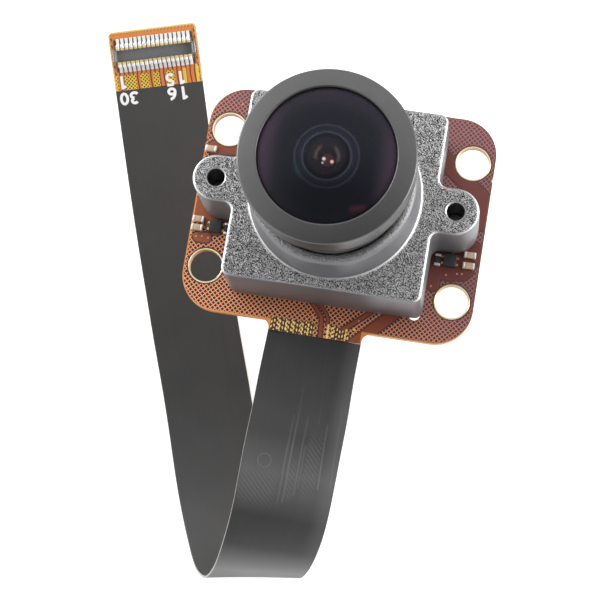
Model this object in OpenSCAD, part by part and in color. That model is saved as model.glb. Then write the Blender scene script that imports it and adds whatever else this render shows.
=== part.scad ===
// Wide-angle camera module: a fisheye lens screwed into a die-cast holder, which is
// screwed to a small circuit board, with a flat flex tail that ends in a plug.
//
// Frame: the origin is the centre of the four-hole pattern, on the board's front face.
// +Z is the optical axis, out of the lens. +Y is away from the tail.

/* [Lens holder] */
// Width of the holder's box, across the ears
holder_w = 16.6; // [15.5:0.1:18]
// Depth of the holder's box, along the tail
holder_d = 16; // [15.5:0.1:18]
// Height of the holder's box over the board
holder_h = 7.1; // [6.2:0.1:9]
// Radius of the box's upright corners
holder_corner_r = 0.7; // [0.3:0.1:1.5]
// Thickness of the box's walls
holder_wall = 2; // [1.4:0.1:2.4]
// Height of the sensor's room under the filter ledge
cavity_h = 3.1; // [2.6:0.1:3.6]
// Thickness of the ledge that carries the filter
ledge_t = 1; // [0.7:0.1:1.4]
// Height of the round collar over the box
collar_h = 4.1; // [3:0.1:5]
// Diameter of the collar at its rim
collar_d = 13.6; // [13.2:0.1:15]
// How much wider the collar's radius is at its foot, for the mould
collar_draft = 0.25; // [0:0.05:0.5]
// Distance of an ear's screw hole from the side of the box
ear_reach = 1.7; // [1.5:0.1:2.2]
// Radius of an ear's round end
ear_r = 1.95; // [1.6:0.05:2.4]
// Radius of the fillet between an ear and the box
ear_fillet_r = 0.7; // [0.3:0.1:1.2]
// Diameter of an ear's screw hole
ear_hole_d = 1.5; // [1.2:0.1:2]

/* [Lens] */
// Diameter of the thread between lens and holder
thread_d = 12; // [11.4:0.1:12.4]
// Gap between the end of the lens and the filter ledge, at focus
focus_gap = 1.05; // [0.5:0.05:1.5]
// Diameter of the lens head's front ring
head_d = 13.9; // [13.4:0.1:16]
// Height of the front ring's side
ring_h = 2; // [1.6:0.1:3]
// Height by which the front ring rises towards the glass
ring_rise = 0.3; // [0.1:0.05:0.6]
// Thickness of the front ring's lip over the glass
lip_t = 0.45; // [0.3:0.05:0.7]
// Diameter of the window in the front ring
window_d = 10.8; // [10:0.1:11]
// Height of the barrel's flange under the front ring
flange_h = 0.8; // [0.5:0.1:1.4]
// Diameter of the first glass
front_glass_d = 11.7; // [11.4:0.1:11.8]
// Radius of the first glass's outer surface
front_glass_r = 11.5; // [9:0.5:16]
// Thickness of the seal under the first glass
seal_t = 0.3; // [0.2:0.05:0.5]
// Thickness of the barrel's floor under the seal
seat_floor = 0.4; // [0.3:0.05:0.6]
// Diameter of the glasses in front of the aperture
mid_glass_d = 8.6; // [8:0.1:9]
// Edge thickness of the second glass
second_edge_t = 1.8; // [1.4:0.1:2.2]
// Thickness of the ring between the second and the third glass
spacer_t = 1.2; // [0.6:0.1:1.6]
// Edge thickness of the third glass
third_edge_t = 1.5; // [1.3:0.1:2]
// Height of the aperture cup's rim
stop_h = 0.75; // [0.7:0.05:1.2]
// Thickness of the aperture cup's web
stop_web_t = 0.12; // [0.08:0.02:0.2]
// Diameter of the aperture
stop_d = 1.8; // [1.2:0.1:2.4]
// Thickness of the barrel's inner shoulder
shoulder_t = 0.5; // [0.45:0.05:0.8]
// Diameter of the glasses behind the aperture
rear_glass_d = 7.2; // [6.8:0.1:7.8]
// Edge thickness of the doublet's first glass
crown_edge_t = 0.7; // [0.6:0.1:1]
// Edge thickness of the doublet's second glass
flint_edge_t = 1.9; // [1.8:0.1:2.4]
// Thickness of the ring behind the doublet
rear_spacer_t = 0.4; // [0.3:0.1:0.8]
// Edge thickness of the last glass
rear_edge_t = 1.3; // [0.9:0.1:1.6]
// Thickness of the ring that holds the last glass
rear_retainer_t = 1.1; // [0.6:0.1:1.4]

/* [Image sensor] */
// Width of the sensor package
sensor_w = 7.4; // [6:0.1:9]
// Depth of the sensor package
sensor_d = 6.2; // [5:0.1:8]
// Thickness of the sensor's carrier
carrier_t = 0.45; // [0.3:0.05:0.6]
// Width of the silicon die
die_w = 5.8; // [4.5:0.1:6]
// Depth of the silicon die
die_d = 4.6; // [3.5:0.1:4.8]
// Thickness of the silicon die
die_t = 0.3; // [0.2:0.05:0.4]
// Height of the frame round the die
frame_h = 0.5; // [0.42:0.02:0.7]
// Width of the frame's walls
frame_w = 0.6; // [0.4:0.05:0.7]
// Thickness of the cover glass
cover_t = 0.4; // [0.3:0.05:0.5]
// Pitch of the solder balls
ball_pitch = 0.8; // [0.7:0.05:1]
// Diameter of a solder ball
ball_d = 0.35; // [0.25:0.05:0.45]
// Height of the soldered balls
ball_h = 0.15; // [0.1:0.01:0.25]
// Side of the square infrared filter
filter_w = 8.4; // [7.6:0.1:9]
// Thickness of the infrared filter
filter_t = 0.3; // [0.2:0.05:0.4]

/* [Board] */
// Thickness of the flex circuit
flex_t = 0.2; // [0.12:0.01:0.3]
// Thickness of the stiffener behind the circuit
stiffener_t = 0.5; // [0.3:0.05:1]
// Width of the board's margin past the holder, front and back
board_lip = 1.9; // [1.5:0.1:3]
// Radius of the board's corners
board_corner_r = 3.2; // [2.4:0.1:3.6]
// Diameter of the four mounting holes
hole_d = 2.8; // [2.6:0.1:3.2]
// Gap between the holder and a mounting hole
hole_gap = 0.9; // [0.7:0.1:1.6]
// Board left between a mounting hole and the side edge
hole_rim = 0.5; // [0.4:0.05:1]
// Distance between the mounting holes along the tail
hole_spacing_y = 12.2; // [11.8:0.1:12.8]
// Width of the plated ring round a mounting hole
plating_w = 0.2; // [0.1:0.05:0.3]
// Thickness of the plated ring
plating_t = 0.03; // [0.02:0.01:0.05]
// Diameter of the locating hole beside the holder
locating_d = 1; // [0.8:0.1:1.2]
// Length of the neck between the board and the tail
neck_l = 0.9; // [0.8:0.1:2]
// Radius of the fillets beside the neck
neck_fillet_r = 0.75; // [0.3:0.05:0.8]
// Width of a break-off tab's scar in the board's side
tab_w = 0.35; // [0.2:0.05:0.6]

/* [Small parts] */
// Length of a chip capacitor or resistor
chip_l = 1; // [0.9:0.05:1.1]
// Width of a chip capacitor or resistor
chip_w = 0.52; // [0.45:0.01:0.55]
// Height of a chip capacitor
capacitor_h = 0.5; // [0.4:0.05:0.7]
// Height of a chip resistor
resistor_h = 0.35; // [0.25:0.05:0.5]
// Length of a chip's metal end
chip_end_l = 0.22; // [0.15:0.01:0.3]
// Side of the square driver chips
driver_w = 1.1; // [0.9:0.05:1.15]
// Height of the driver chips
driver_h = 0.45; // [0.35:0.05:0.7]
// Length of a driver chip's lead
lead_l = 0.18; // [0.1:0.01:0.2]
// Width of the memory chip
memory_w = 2.4; // [2:0.1:2.6]
// Depth of the memory chip
memory_d = 1.5; // [1.2:0.1:1.6]
// Height of the memory chip
memory_h = 0.6; // [0.4:0.05:0.9]
// Clear gap kept between small parts and their neighbours
part_gap = 0.12; // [0.08:0.01:0.2]

/* [Screws] */
// Diameter of a screw's head
screw_head_d = 2.9; // [2.5:0.1:3.2]
// Height of a screw's head
screw_head_h = 0.9; // [0.6:0.1:1.3]
// Length of thread that a screw has in its ear
screw_bite = 3.2; // [2:0.1:5]
// Length of the cross cut in a screw's head
cross_l = 1.5; // [1:0.1:1.8]
// Width of the cross cut
cross_w = 0.35; // [0.2:0.05:0.5]
// Depth of the cross cut
cross_depth = 0.45; // [0.3:0.05:0.6]

/* [Tail and plug] */
// Width of the flex tail
tail_w = 8; // [7.8:0.1:9]
// Distance of the tail's middle from the optical axis
tail_x = -0.4; // [-1:0.1:1]
// Length of the plug's stiffener
plug_stiffener_l = 5; // [4.5:0.1:5.4]
// Thickness of the plug's stiffener
plug_stiffener_t = 0.3; // [0.2:0.05:0.5]
// Contacts in each of the plug's two rows
contacts = 17; // [13:1:17]
// Pitch of the contacts
contact_pitch = 0.4; // [0.38:0.01:0.42]
// Width of a contact
contact_w = 0.2; // [0.15:0.01:0.25]
// Thickness of a contact's sheet metal
contact_t = 0.08; // [0.05:0.01:0.1]
// Length of a contact's soldered foot
foot_l = 0.5; // [0.4:0.05:0.7]
// Width of the plug's housing, across its rows
housing_w = 1.9; // [1.6:0.1:2.2]
// Height of the plug's housing
housing_h = 0.7; // [0.5:0.05:1]
// Thickness of the housing's side walls
housing_wall = 0.4; // [0.25:0.05:0.5]
// Thickness of the housing's floor
housing_floor = 0.25; // [0.15:0.05:0.4]
// Length of the housing's solid end blocks
end_block_l = 0.55; // [0.4:0.05:0.7]
// Distance of the housing's middle from the end of the tail
plug_inset = 2.15; // [2:0.05:2.6]
// Height of the solder on a foot
solder_h = 0.06; // [0.03:0.01:0.08]

/* [Hidden] */
$fn = 96;

// Small amounts that cutting shapes run past a face, and clearances between pieces
over = 0.5;
thread_clear = 0.05;   // lens thread in the holder
glass_clear = 0.05;    // glass in the barrel's bore
filter_clear = 0.1;    // filter in its recess
screw_clear = 0.05;    // screw's core in the ear
cement_t = 0.01;       // cement in the doublet
hole_clear_d = 1.8;    // board's clearance hole for a holder screw
break_edge = 0.1;      // small chamfer on turned and cast edges

// Holder
cavity_w = holder_w - 2 * holder_wall;
cavity_d = holder_d - 2 * holder_wall;
ledge_top = cavity_h + ledge_t;
rim_z = holder_h + collar_h;
filter_recess = filter_t + filter_clear / 2;
filter_bearing = 0.6;  // width of the ledge under each side of the filter
mouth_chamfer = 0.25;  // chamfer at the mouth of the lens thread
collar_fillet = 0.3;   // fillet at the collar's foot
ear_x = holder_w / 2 + ear_reach;

// Board
hole_x = holder_w / 2 + hole_gap + hole_d / 2;
hole_y = hole_spacing_y / 2;
board_w = 2 * (hole_x + hole_d / 2 + hole_rim);
board_h = holder_d + 2 * board_lip;
board_t = flex_t + stiffener_t;
neck_end_y = -board_h / 2 - neck_l;
locating_pos = [holder_w / 2 - 0.65, -holder_d / 2 + 0.35];
tab_y = 4.9;           // place of the tab scars along both sides

// Lens, with z = 0 at the underside of the barrel's flange, and z falling inwards
nose_wall = 0.45;      // wall of the barrel round the first glass
flange_inset = 0.07;   // how much smaller than the head the flange's radius is
stop_lip = 2.1;        // width of the shoulder inside the mid bore
bore_front_r = front_glass_d / 2 + glass_clear;
bore_mid_r = mid_glass_d / 2 + glass_clear;
bore_rear_r = rear_glass_d / 2 + glass_clear;
nose_r = bore_front_r + nose_wall;
ring_bore_r = nose_r + glass_clear;
lip_z = flange_h + ring_h + ring_rise - lip_t;
nose_z = lip_z - glass_clear;
seat_z = seat_floor;
front_z = seat_z + seal_t;
front_edge_t = lip_z - front_z;
second_z = seat_z - part_gap - second_edge_t;
spacer_z = second_z - spacer_t;
third_z = spacer_z - third_edge_t;
stop_z = third_z - stop_h;
shoulder_z = stop_z - shoulder_t;
crown_z = shoulder_z - crown_edge_t;
flint_z = crown_z - flint_edge_t;
rear_spacer_z = flint_z - rear_spacer_t;
rear_z = rear_spacer_z - rear_edge_t;
retainer_z = rear_z - rear_retainer_t;
barrel_end_z = retainer_z - break_edge;
relief_h = 0.5;        // plain neck between the flange and the thread
relief_depth = 0.35;
thread_chamfer = 0.3;
barrel_r = thread_d / 2 - thread_clear;
lens_z = ledge_top + focus_gap - barrel_end_z;

// Surfaces of the glasses: [radius of the ball, radius of its clear opening]. A positive
// ball bulges out of the glass, a negative one is hollow.
flat = [0, 0];
front_hollow = [-4.6, 4.1];
second_bulge = [14, 3.8];
second_hollow = [-3.1, 2.7];
third_hollow = [-9, 2.6];
third_bulge = [5, 2.3];
crown_bulge = [5.5, 2];
cement_bulge = [4.2, 2.6];
flint_hollow = [-7, 2.4];
rear_bulge = [6, 2.4];
last_bulge = [8, 2.5];
spacer_r = 2.9;        // openings of the rings between the glasses
stop_cup_r = 2.8;
rear_opening_r = 2.7;

// Sensor
carrier_z = ball_h;
die_z = carrier_z + carrier_t;
cover_z = die_z + frame_h;

// Places of the small parts: [x, y, turn]. They stand beside an ear, between the holder's
// wall and the board's side edge. A part in the nook clears the ear's fillet.
edge_x = board_w / 2;
nook = ear_fillet_r * (1 - sqrt(0.5)) + part_gap / 2;
nook_x = holder_w / 2 + nook;
nook_y = ear_r + nook;
resistor_x = nook_x + chip_w / 2;
resistor_y = nook_y + chip_l / 2;
driver_x = resistor_x + chip_w / 2 + part_gap + lead_l + driver_w / 2;
driver_y = ear_r + part_gap + driver_w / 2;
left_shift = 0.4;      // how much further out the left resistor and driver stand
memory_x = -(nook_x + memory_w / 2);
memory_y = nook_y + memory_d / 2;
// The capacitors stand in two rows beside the ear's round end, nearer the edge on the left
right_cap_x = edge_x - 0.45 - chip_l / 2;
left_cap_x = -(edge_x - part_gap - chip_l / 2);
cap_y = chip_w / 2 + sqrt(max(0, pow(ear_r + part_gap, 2)
    - pow(max(0, right_cap_x - chip_l / 2 - ear_x), 2)));
right_row = chip_w + 0.4;
left_row = chip_w + 0.22;
capacitor_places = [
    [right_cap_x, -cap_y, 0], [right_cap_x, -cap_y - right_row, 0],
    [left_cap_x, -cap_y, 0], [left_cap_x, -cap_y - left_row, 0],
    [left_cap_x, memory_y + memory_d / 2 + part_gap + chip_w / 2, 0]
];
resistor_places = [[resistor_x, -resistor_y, 90], [-resistor_x - left_shift, -resistor_y, 90]];
driver_places = [[driver_x, -driver_y], [-driver_x - left_shift, -driver_y]];

// Tail. The route of its middle is given from the end of the neck: it leaves flat,
// rises a little, turns back under itself and runs out behind the board.
tail_route = [
    [0, 0, 0], [0, -1.5, 0.5], [0, -4, 1.5], [0.1, -7, 2.5], [0, -10, 3],
    [-0.1, -13, 2.5], [-0.3, -15.5, 1], [-0.7, -17.5, -0.5], [-1.2, -19, -2.5],
    [-1.8, -20, -5], [-2.6, -20.5, -7.5], [-3.5, -20, -10], [-4.5, -19, -12],
    [-5.6, -17, -14], [-6.8, -14.5, -15.5], [-8, -11.5, -16], [-9.3, -7.5, -16],
    [-10.6, -3.5, -15.5], [-12, 0.5, -14.5], [-13.4, 5, -13], [-15, 10, -11.5],
    [-16.6, 15.5, -9.5], [-18.1, 21, -7], [-19.6, 26.5, -4.5]
];
tail_start = [tail_x, neck_end_y, -flex_t / 2];
// Direction of the fold line that the tail bends round, nearly across it
fold_line = [0.98, 0.16, -0.07];
steps_per_span = 3;

function unit(v) = v / norm(v);
// Part of the fold line that is square to the direction t
function across(t) = unit(fold_line - (fold_line * t) * t);
// Control points of the smooth curve, with one more at each end to start it there
function with_ends(p) = let (n = len(p))
    concat([2 * p[0] - p[1]], p, [2 * p[n - 1] - p[n - 2]]);
// Uniform cubic B-spline over four control points, and its direction
function spline(p, i, t) = (pow(1 - t, 3) * p[i] + (3 * pow(t, 3) - 6 * t * t + 4) * p[i + 1]
    + (3 * t + 3 * t * t - 3 * pow(t, 3) + 1) * p[i + 2] + pow(t, 3) * p[i + 3]) / 6;
function heading(p, i, t) = unit((p[i + 1] - p[i]) * pow(1 - t, 2)
    + (p[i + 2] - p[i + 1]) * (1 + 2 * t - 2 * t * t) + (p[i + 3] - p[i + 2]) * t * t);

controls = with_ends(tail_route);
spans = len(tail_route) - 1;
tail_end = tail_start + tail_route[spans];
end_t = unit(tail_route[spans] - tail_route[spans - 1]);
end_across = across(end_t);
end_out = cross(end_across, end_t);

// Plug, in the frame of the tail's end: x across, y along the tail, z out of its face
plug_y = -plug_inset;
face_z = flex_t / 2;
row_l = (contacts - 1) * contact_pitch;
housing_l = row_l + 2 * end_block_l;
solder_rim = 0.1;      // solder past the end of a foot, and its start past the riser
solder_w = contact_w + 0.08;
solder_l = foot_l - contact_t;

// ---------------------------------------------------------------- shared outlines

// Rectangle with round corners, centred
module rounded_rect(w, d, r) {
    square([w - 2 * r, d], center = true);
    square([w, d - 2 * r], center = true);
    for (x = [-1, 1], y = [-1, 1]) translate([x * (w / 2 - r), y * (d / 2 - r)]) circle(r);
}

// Fillet in the inner corner between the +x and the +y side of the origin
module fillet_corner(r) {
    root = 0.1;
    difference() {
        translate([-root, -root]) square(r + root);
        translate([r, r]) circle(r);
    }
}

// Box on z = at.z, centred on at.x and at.y
module block(size, at) {
    translate([at.x - size.x / 2, at.y - size.y / 2, at.z]) cube(size);
}

// ---------------------------------------------------------------- lens holder

// The box's outline with its two ears
module holder_outline() {
    rounded_rect(holder_w, holder_d, holder_corner_r);
    for (side = [0, 1]) mirror([side, 0]) {
        translate([0, -ear_r]) square([ear_x, 2 * ear_r]);
        translate([ear_x, 0]) circle(ear_r);
        for (up = [0, 1]) mirror([0, up])
            translate([holder_w / 2, ear_r]) fillet_corner(ear_fillet_r);
    }
}

module collar() {
    foot_r = collar_d / 2 + collar_draft;
    rotate_extrude() polygon([
        [0, holder_h - over], [foot_r + collar_fillet, holder_h - over],
        [foot_r + collar_fillet, holder_h], [foot_r, holder_h + collar_fillet],
        [collar_d / 2, rim_z - break_edge], [collar_d / 2 - break_edge, rim_z], [0, rim_z]
    ]);
}

module lens_holder() {
    color("#8d8f92") difference() {
        union() {
            linear_extrude(holder_h) holder_outline();
            collar();
        }
        // room for the sensor, filter recess, window and lens thread
        translate([0, 0, -over]) linear_extrude(cavity_h + over)
            rounded_rect(cavity_w, cavity_d, holder_corner_r);
        block([filter_w + 2 * filter_clear, filter_w + 2 * filter_clear, filter_recess + over],
              [0, 0, cavity_h - over]);
        block([filter_w - 2 * filter_bearing, filter_w - 2 * filter_bearing, ledge_t + 2 * over],
              [0, 0, cavity_h - over]);
        translate([0, 0, ledge_top]) cylinder(d = thread_d, h = rim_z);
        translate([0, 0, rim_z - mouth_chamfer])
            cylinder(d1 = thread_d, d2 = thread_d + 4 * mouth_chamfer, h = 2 * mouth_chamfer);
        for (x = [-ear_x, ear_x]) translate([x, 0, -over])
            cylinder(d = ear_hole_d, h = holder_h + 2 * over);
    }
}

// ---------------------------------------------------------------- lens

// One glass with a flat round edge and its front and rear surfaces
module glass(d, edge_t, front, rear) {
    difference() {
        union() {
            cylinder(d = d, h = edge_t);
            if (front[0] > 0) translate([0, 0, edge_t]) bulge(front[0], front[1]);
            if (rear[0] > 0) mirror([0, 0, 1]) bulge(rear[0], rear[1]);
        }
        if (front[0] < 0) translate([0, 0, edge_t]) hollow(-front[0], front[1]);
        if (rear[0] < 0) mirror([0, 0, 1]) hollow(-rear[0], rear[1]);
    }
}

// Cap of a ball standing on z = 0, with a short root below it
module bulge(r, clear_r) {
    root = 0.2;
    intersection() {
        translate([0, 0, -sqrt(r * r - clear_r * clear_r)]) sphere(r);
        translate([0, 0, -root]) cylinder(r = clear_r, h = r);
    }
}

// Ball that cuts a dish of the clear radius into the face at z = 0
module hollow(r, clear_r) {
    translate([0, 0, sqrt(r * r - clear_r * clear_r)]) sphere(r);
}

// Flat ring from z = 0
module ring(outer_r, inner_r, h) {
    difference() {
        cylinder(r = outer_r, h = h);
        translate([0, 0, -over]) cylinder(r = inner_r, h = h + 2 * over);
    }
}

module lens_barrel() {
    relief_r = barrel_r - relief_depth;
    flange_r = head_d / 2 - flange_inset;
    lip_r = bore_mid_r - stop_lip;
    color("#2e2f31") translate([0, 0, lens_z]) rotate_extrude() polygon([
        [bore_rear_r, barrel_end_z], [barrel_r - thread_chamfer, barrel_end_z],
        [barrel_r, barrel_end_z + thread_chamfer], [barrel_r, -relief_h - thread_chamfer],
        [relief_r, -relief_h], [relief_r, 0], [flange_r, 0],
        [flange_r, flange_h], [nose_r, flange_h], [nose_r, nose_z], [bore_front_r, nose_z],
        [bore_front_r, seat_z], [bore_mid_r, seat_z], [bore_mid_r, stop_z],
        [lip_r, stop_z], [lip_r, shoulder_z], [bore_rear_r, shoulder_z]
    ]);
}

module front_ring() {
    top_z = flange_h + ring_h;
    color("#4a4b4d") translate([0, 0, lens_z]) rotate_extrude() polygon([
        [ring_bore_r, flange_h], [head_d / 2, flange_h], [head_d / 2, top_z - break_edge],
        [head_d / 2 - break_edge, top_z], [window_d / 2 + break_edge, top_z + ring_rise],
        [window_d / 2, top_z + ring_rise - break_edge], [window_d / 2, lip_z], [ring_bore_r, lip_z]
    ]);
}

module front_element() {
    color("#1c2230") translate([0, 0, lens_z + front_z])
        glass(front_glass_d, front_edge_t, [front_glass_r, window_d / 2 - glass_clear], front_hollow);
}

module front_seal() {
    color("#151515") translate([0, 0, lens_z + seat_z])
        ring(front_glass_d / 2, bore_mid_r + part_gap, seal_t);
}

module second_element() {
    color("#20242c") translate([0, 0, lens_z + second_z])
        glass(mid_glass_d, second_edge_t, second_bulge, second_hollow);
}

module spacer_ring() {
    color("#191919") translate([0, 0, lens_z + spacer_z]) ring(mid_glass_d / 2, spacer_r, spacer_t);
}

module third_element() {
    color("#20242c") translate([0, 0, lens_z + third_z])
        glass(mid_glass_d, third_edge_t, third_hollow, third_bulge);
}

module aperture_stop() {
    color("#101010") translate([0, 0, lens_z + stop_z]) {
        difference() {
            cylinder(d = mid_glass_d, h = stop_h);
            translate([0, 0, stop_web_t]) cylinder(r = stop_cup_r, h = stop_h);
            translate([0, 0, -over]) cylinder(d = stop_d, h = stop_h + 2 * over);
        }
    }
}

module doublet_crown() {
    color("#2a2e36") translate([0, 0, lens_z + crown_z])
        glass(rear_glass_d, crown_edge_t, crown_bulge, cement_bulge);
}

module doublet_flint() {
    // The hollow is a ball round the same centre as the crown's bulge, larger by the cement
    bulge_h = sqrt(pow(cement_bulge[0], 2) - pow(cement_bulge[1], 2));
    color("#24303a") translate([0, 0, lens_z + flint_z]) difference() {
        glass(rear_glass_d, flint_edge_t, flat, flint_hollow);
        translate([0, 0, flint_edge_t + bulge_h]) sphere(cement_bulge[0] + cement_t);
    }
}

module rear_spacer() {
    color("#191919") translate([0, 0, lens_z + rear_spacer_z])
        ring(rear_glass_d / 2, rear_opening_r, rear_spacer_t);
}

module rear_element() {
    color("#2a2e36") translate([0, 0, lens_z + rear_z])
        glass(rear_glass_d, rear_edge_t, rear_bulge, last_bulge);
}

module rear_retainer() {
    color("#191919") translate([0, 0, lens_z + retainer_z])
        ring(rear_glass_d / 2, rear_opening_r, rear_retainer_t);
}

// ---------------------------------------------------------------- filter and sensor

module infrared_filter() {
    color("#7fa8b8") block([filter_w, filter_w, filter_t],
                           [0, 0, cavity_h + filter_recess - filter_t]);
}

module sensor_solder() {
    // a single ring of balls round the carrier's underside
    nx = floor((sensor_w - ball_d) / ball_pitch);
    ny = floor((sensor_d - ball_d) / ball_pitch);
    color("#c8c8cc") for (i = [0:nx], j = [0:ny])
        if (i == 0 || j == 0 || i == nx || j == ny)
            translate([(i - nx / 2) * ball_pitch, (j - ny / 2) * ball_pitch, 0])
                cylinder(d = ball_d, h = ball_h, $fn = 24);
}

module sensor_carrier() {
    color("#2b5a3a") block([sensor_w, sensor_d, carrier_t], [0, 0, carrier_z]);
}

module sensor_die() {
    color("#3b3550") block([die_w, die_d, die_t], [0, 0, die_z]);
}

module sensor_frame() {
    color("#202020") difference() {
        block([sensor_w, sensor_d, frame_h], [0, 0, die_z]);
        block([sensor_w - 2 * frame_w, sensor_d - 2 * frame_w, frame_h + 2 * over],
              [0, 0, die_z - over]);
    }
}

module sensor_cover_glass() {
    color("#9fb8c4") block([sensor_w, sensor_d, cover_t], [0, 0, cover_z]);
}

// ---------------------------------------------------------------- board

// Everything that is cut through the circuit and its stiffener
module board_cuts() {
    for (x = [-hole_x, hole_x], y = [-hole_y, hole_y]) translate([x, y]) circle(d = hole_d);
    for (x = [-ear_x, ear_x]) translate([x, 0]) circle(d = hole_clear_d);
    translate(locating_pos) circle(d = locating_d);
    for (side = [-1, 1]) translate([side * board_w / 2, tab_y])
        square([tab_w / 2, tab_w], center = true);
}

module board_plate() {
    difference() {
        rounded_rect(board_w, board_h, board_corner_r);
        board_cuts();
    }
}

module circuit_board() {
    color("#a4523a") translate([0, 0, -flex_t]) linear_extrude(flex_t) {
        board_plate();
        translate([tail_x - tail_w / 2, neck_end_y]) square([tail_w, neck_l + over]);
        for (side = [0, 1]) translate([tail_x, -board_h / 2]) mirror([side, 0])
            translate([tail_w / 2, 0]) mirror([0, 1]) fillet_corner(neck_fillet_r);
    }
}

module board_stiffener() {
    color("#d8a545") translate([0, 0, -board_t]) linear_extrude(stiffener_t) board_plate();
}

module hole_plating() {
    color("#e8c670") for (x = [-hole_x, hole_x], y = [-hole_y, hole_y])
        translate([x, y, 0]) ring(hole_d / 2 + plating_w, hole_d / 2, plating_t);
}

module holder_screws() {
    chamfer = 0.25;
    color("#b9bbbe") for (x = [-ear_x, ear_x]) translate([x, 0, -board_t]) {
        difference() {
            translate([0, 0, -screw_head_h]) union() {
                cylinder(d1 = screw_head_d - 2 * chamfer, d2 = screw_head_d, h = chamfer);
                translate([0, 0, chamfer]) cylinder(d = screw_head_d, h = screw_head_h - chamfer);
            }
            for (turn = [0, 90]) rotate(turn)
                block([cross_l, cross_w, cross_depth + over], [0, 0, -screw_head_h - over]);
        }
        cylinder(d = ear_hole_d - 2 * screw_clear, h = board_t + screw_bite);
    }
}

// ---------------------------------------------------------------- small parts

// Ceramic body of a chip, between its two metal ends
module chip_body(place, h) {
    translate([place.x, place.y, 0]) rotate(place.z)
        block([chip_l - 2 * chip_end_l, chip_w, h], [0, 0, 0]);
}

module chip_ends(place, h) {
    translate([place.x, place.y, 0]) rotate(place.z) for (side = [-1, 1])
        block([chip_end_l, chip_w, h], [side * (chip_l - chip_end_l) / 2, 0, 0]);
}

module capacitors() {
    color("#c9a06a") for (place = capacitor_places) chip_body(place, capacitor_h);
}

module resistors() {
    color("#26282c") for (place = resistor_places) chip_body(place, resistor_h);
}

module chip_terminals() {
    color("#e6e4de") {
        for (place = capacitor_places) chip_ends(place, capacitor_h);
        for (place = resistor_places) chip_ends(place, resistor_h);
    }
}

module driver_chips() {
    color("#1d1e20") for (place = driver_places)
        block([driver_w, driver_w, driver_h], [place.x, place.y, 0]);
}

module driver_leads() {
    lead_w = 0.2;
    lead_t = 0.12;
    color("#d9c48a") for (place = driver_places, side = [-1, 1], row = [-1, 1])
        block([lead_l, lead_w, lead_t],
              [place.x + side * (driver_w + lead_l) / 2, place.y + row * driver_w / 4, 0]);
}

module memory_chip() {
    color("#1d1e20") block([memory_w, memory_d, memory_h], [memory_x, memory_y, 0]);
}

// ---------------------------------------------------------------- tail and plug

// The tail's four corners at one point of its route
function tail_ring(at, t) = let (b = across(t), n = cross(t, b), w = tail_w / 2, h = flex_t / 2)
    [at - w * b - h * n, at + w * b - h * n, at + w * b + h * n, at - w * b + h * n];

module flex_tail() {
    rings = [for (i = [0:spans - 1], k = [0:steps_per_span - 1]) [i, k / steps_per_span]];
    path = concat([for (r = rings) [spline(controls, r[0], r[1]), heading(controls, r[0], r[1])]],
                  [[tail_route[spans], end_t]]);
    // the first ring stands square on the neck's end
    corners = [for (i = [0:len(path) - 1])
        for (c = tail_ring(tail_start + path[i][0], i == 0 ? [0, -1, 0] : path[i][1])) c];
    last = 4 * (len(path) - 1);
    // both wide faces are split along the same diagonal, so the sheet keeps its thickness
    sides = [for (i = [0:len(path) - 2], k = [0:3])
        let (a = 4 * i + k, b = 4 * i + (k + 1) % 4)
            for (face = k < 2 ? [[a, a + 4, b + 4], [a, b + 4, b]]
                              : [[a, a + 4, b], [b, a + 4, b + 4]]) face];
    color("#3a3b3d") polyhedron(corners, concat([[0, 1, 2], [0, 2, 3]], sides,
        [[last + 2, last + 1, last], [last + 3, last + 2, last]]));
}

// Puts its children in the frame of the tail's end
module at_tail_end() {
    multmatrix([
        [end_across.x, end_t.x, end_out.x, tail_end.x],
        [end_across.y, end_t.y, end_out.y, tail_end.y],
        [end_across.z, end_t.z, end_out.z, tail_end.z],
        [0, 0, 0, 1]
    ]) children();
}

module plug_stiffener() {
    color("#d08a3a") at_tail_end()
        block([tail_w, plug_stiffener_l, plug_stiffener_t],
              [0, -plug_stiffener_l / 2, -face_z - plug_stiffener_t]);
}

module plug_housing() {
    slot_l = row_l + contact_pitch;
    color("#54565a") at_tail_end() difference() {
        block([housing_l, housing_w, housing_h], [0, plug_y, face_z]);
        block([slot_l, housing_w - 2 * housing_wall, housing_h],
              [0, plug_y, face_z + housing_floor]);
    }
}

// One contact: foot on the circuit, riser up the wall, hook over its top
module contact() {
    translate([-contact_w / 2, 0, 0]) {
        cube([contact_w, foot_l, contact_t]);
        cube([contact_w, contact_t, housing_h + contact_t]);
        translate([0, -housing_wall, housing_h])
            cube([contact_w, housing_wall + contact_t, contact_t]);
    }
}

module each_contact() {
    for (side = [0, 1], i = [0:contacts - 1])
        translate([(i - (contacts - 1) / 2) * contact_pitch, plug_y, face_z])
            mirror([0, side, 0]) translate([0, housing_w / 2, 0]) children();
}

module plug_contacts() {
    color("#e7c56a") at_tail_end() each_contact() contact();
}

module plug_solder() {
    color("#f2f2ee") at_tail_end() each_contact() difference() {
        translate([-solder_w / 2, contact_t + solder_rim, 0]) cube([solder_w, solder_l, solder_h]);
        translate([-contact_w / 2, -over, -over]) cube([contact_w, foot_l + over, 2 * over]);
    }
}

lens_holder();
lens_barrel();
front_ring();
front_element();
front_seal();
second_element();
spacer_ring();
third_element();
aperture_stop();
doublet_crown();
doublet_flint();
rear_spacer();
rear_element();
rear_retainer();
infrared_filter();
sensor_carrier();
sensor_solder();
sensor_die();
sensor_frame();
sensor_cover_glass();
circuit_board();
board_stiffener();
hole_plating();
holder_screws();
capacitors();
resistors();
chip_terminals();
driver_chips();
driver_leads();
memory_chip();
flex_tail();
plug_stiffener();
plug_housing();
plug_contacts();
plug_solder();
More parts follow.
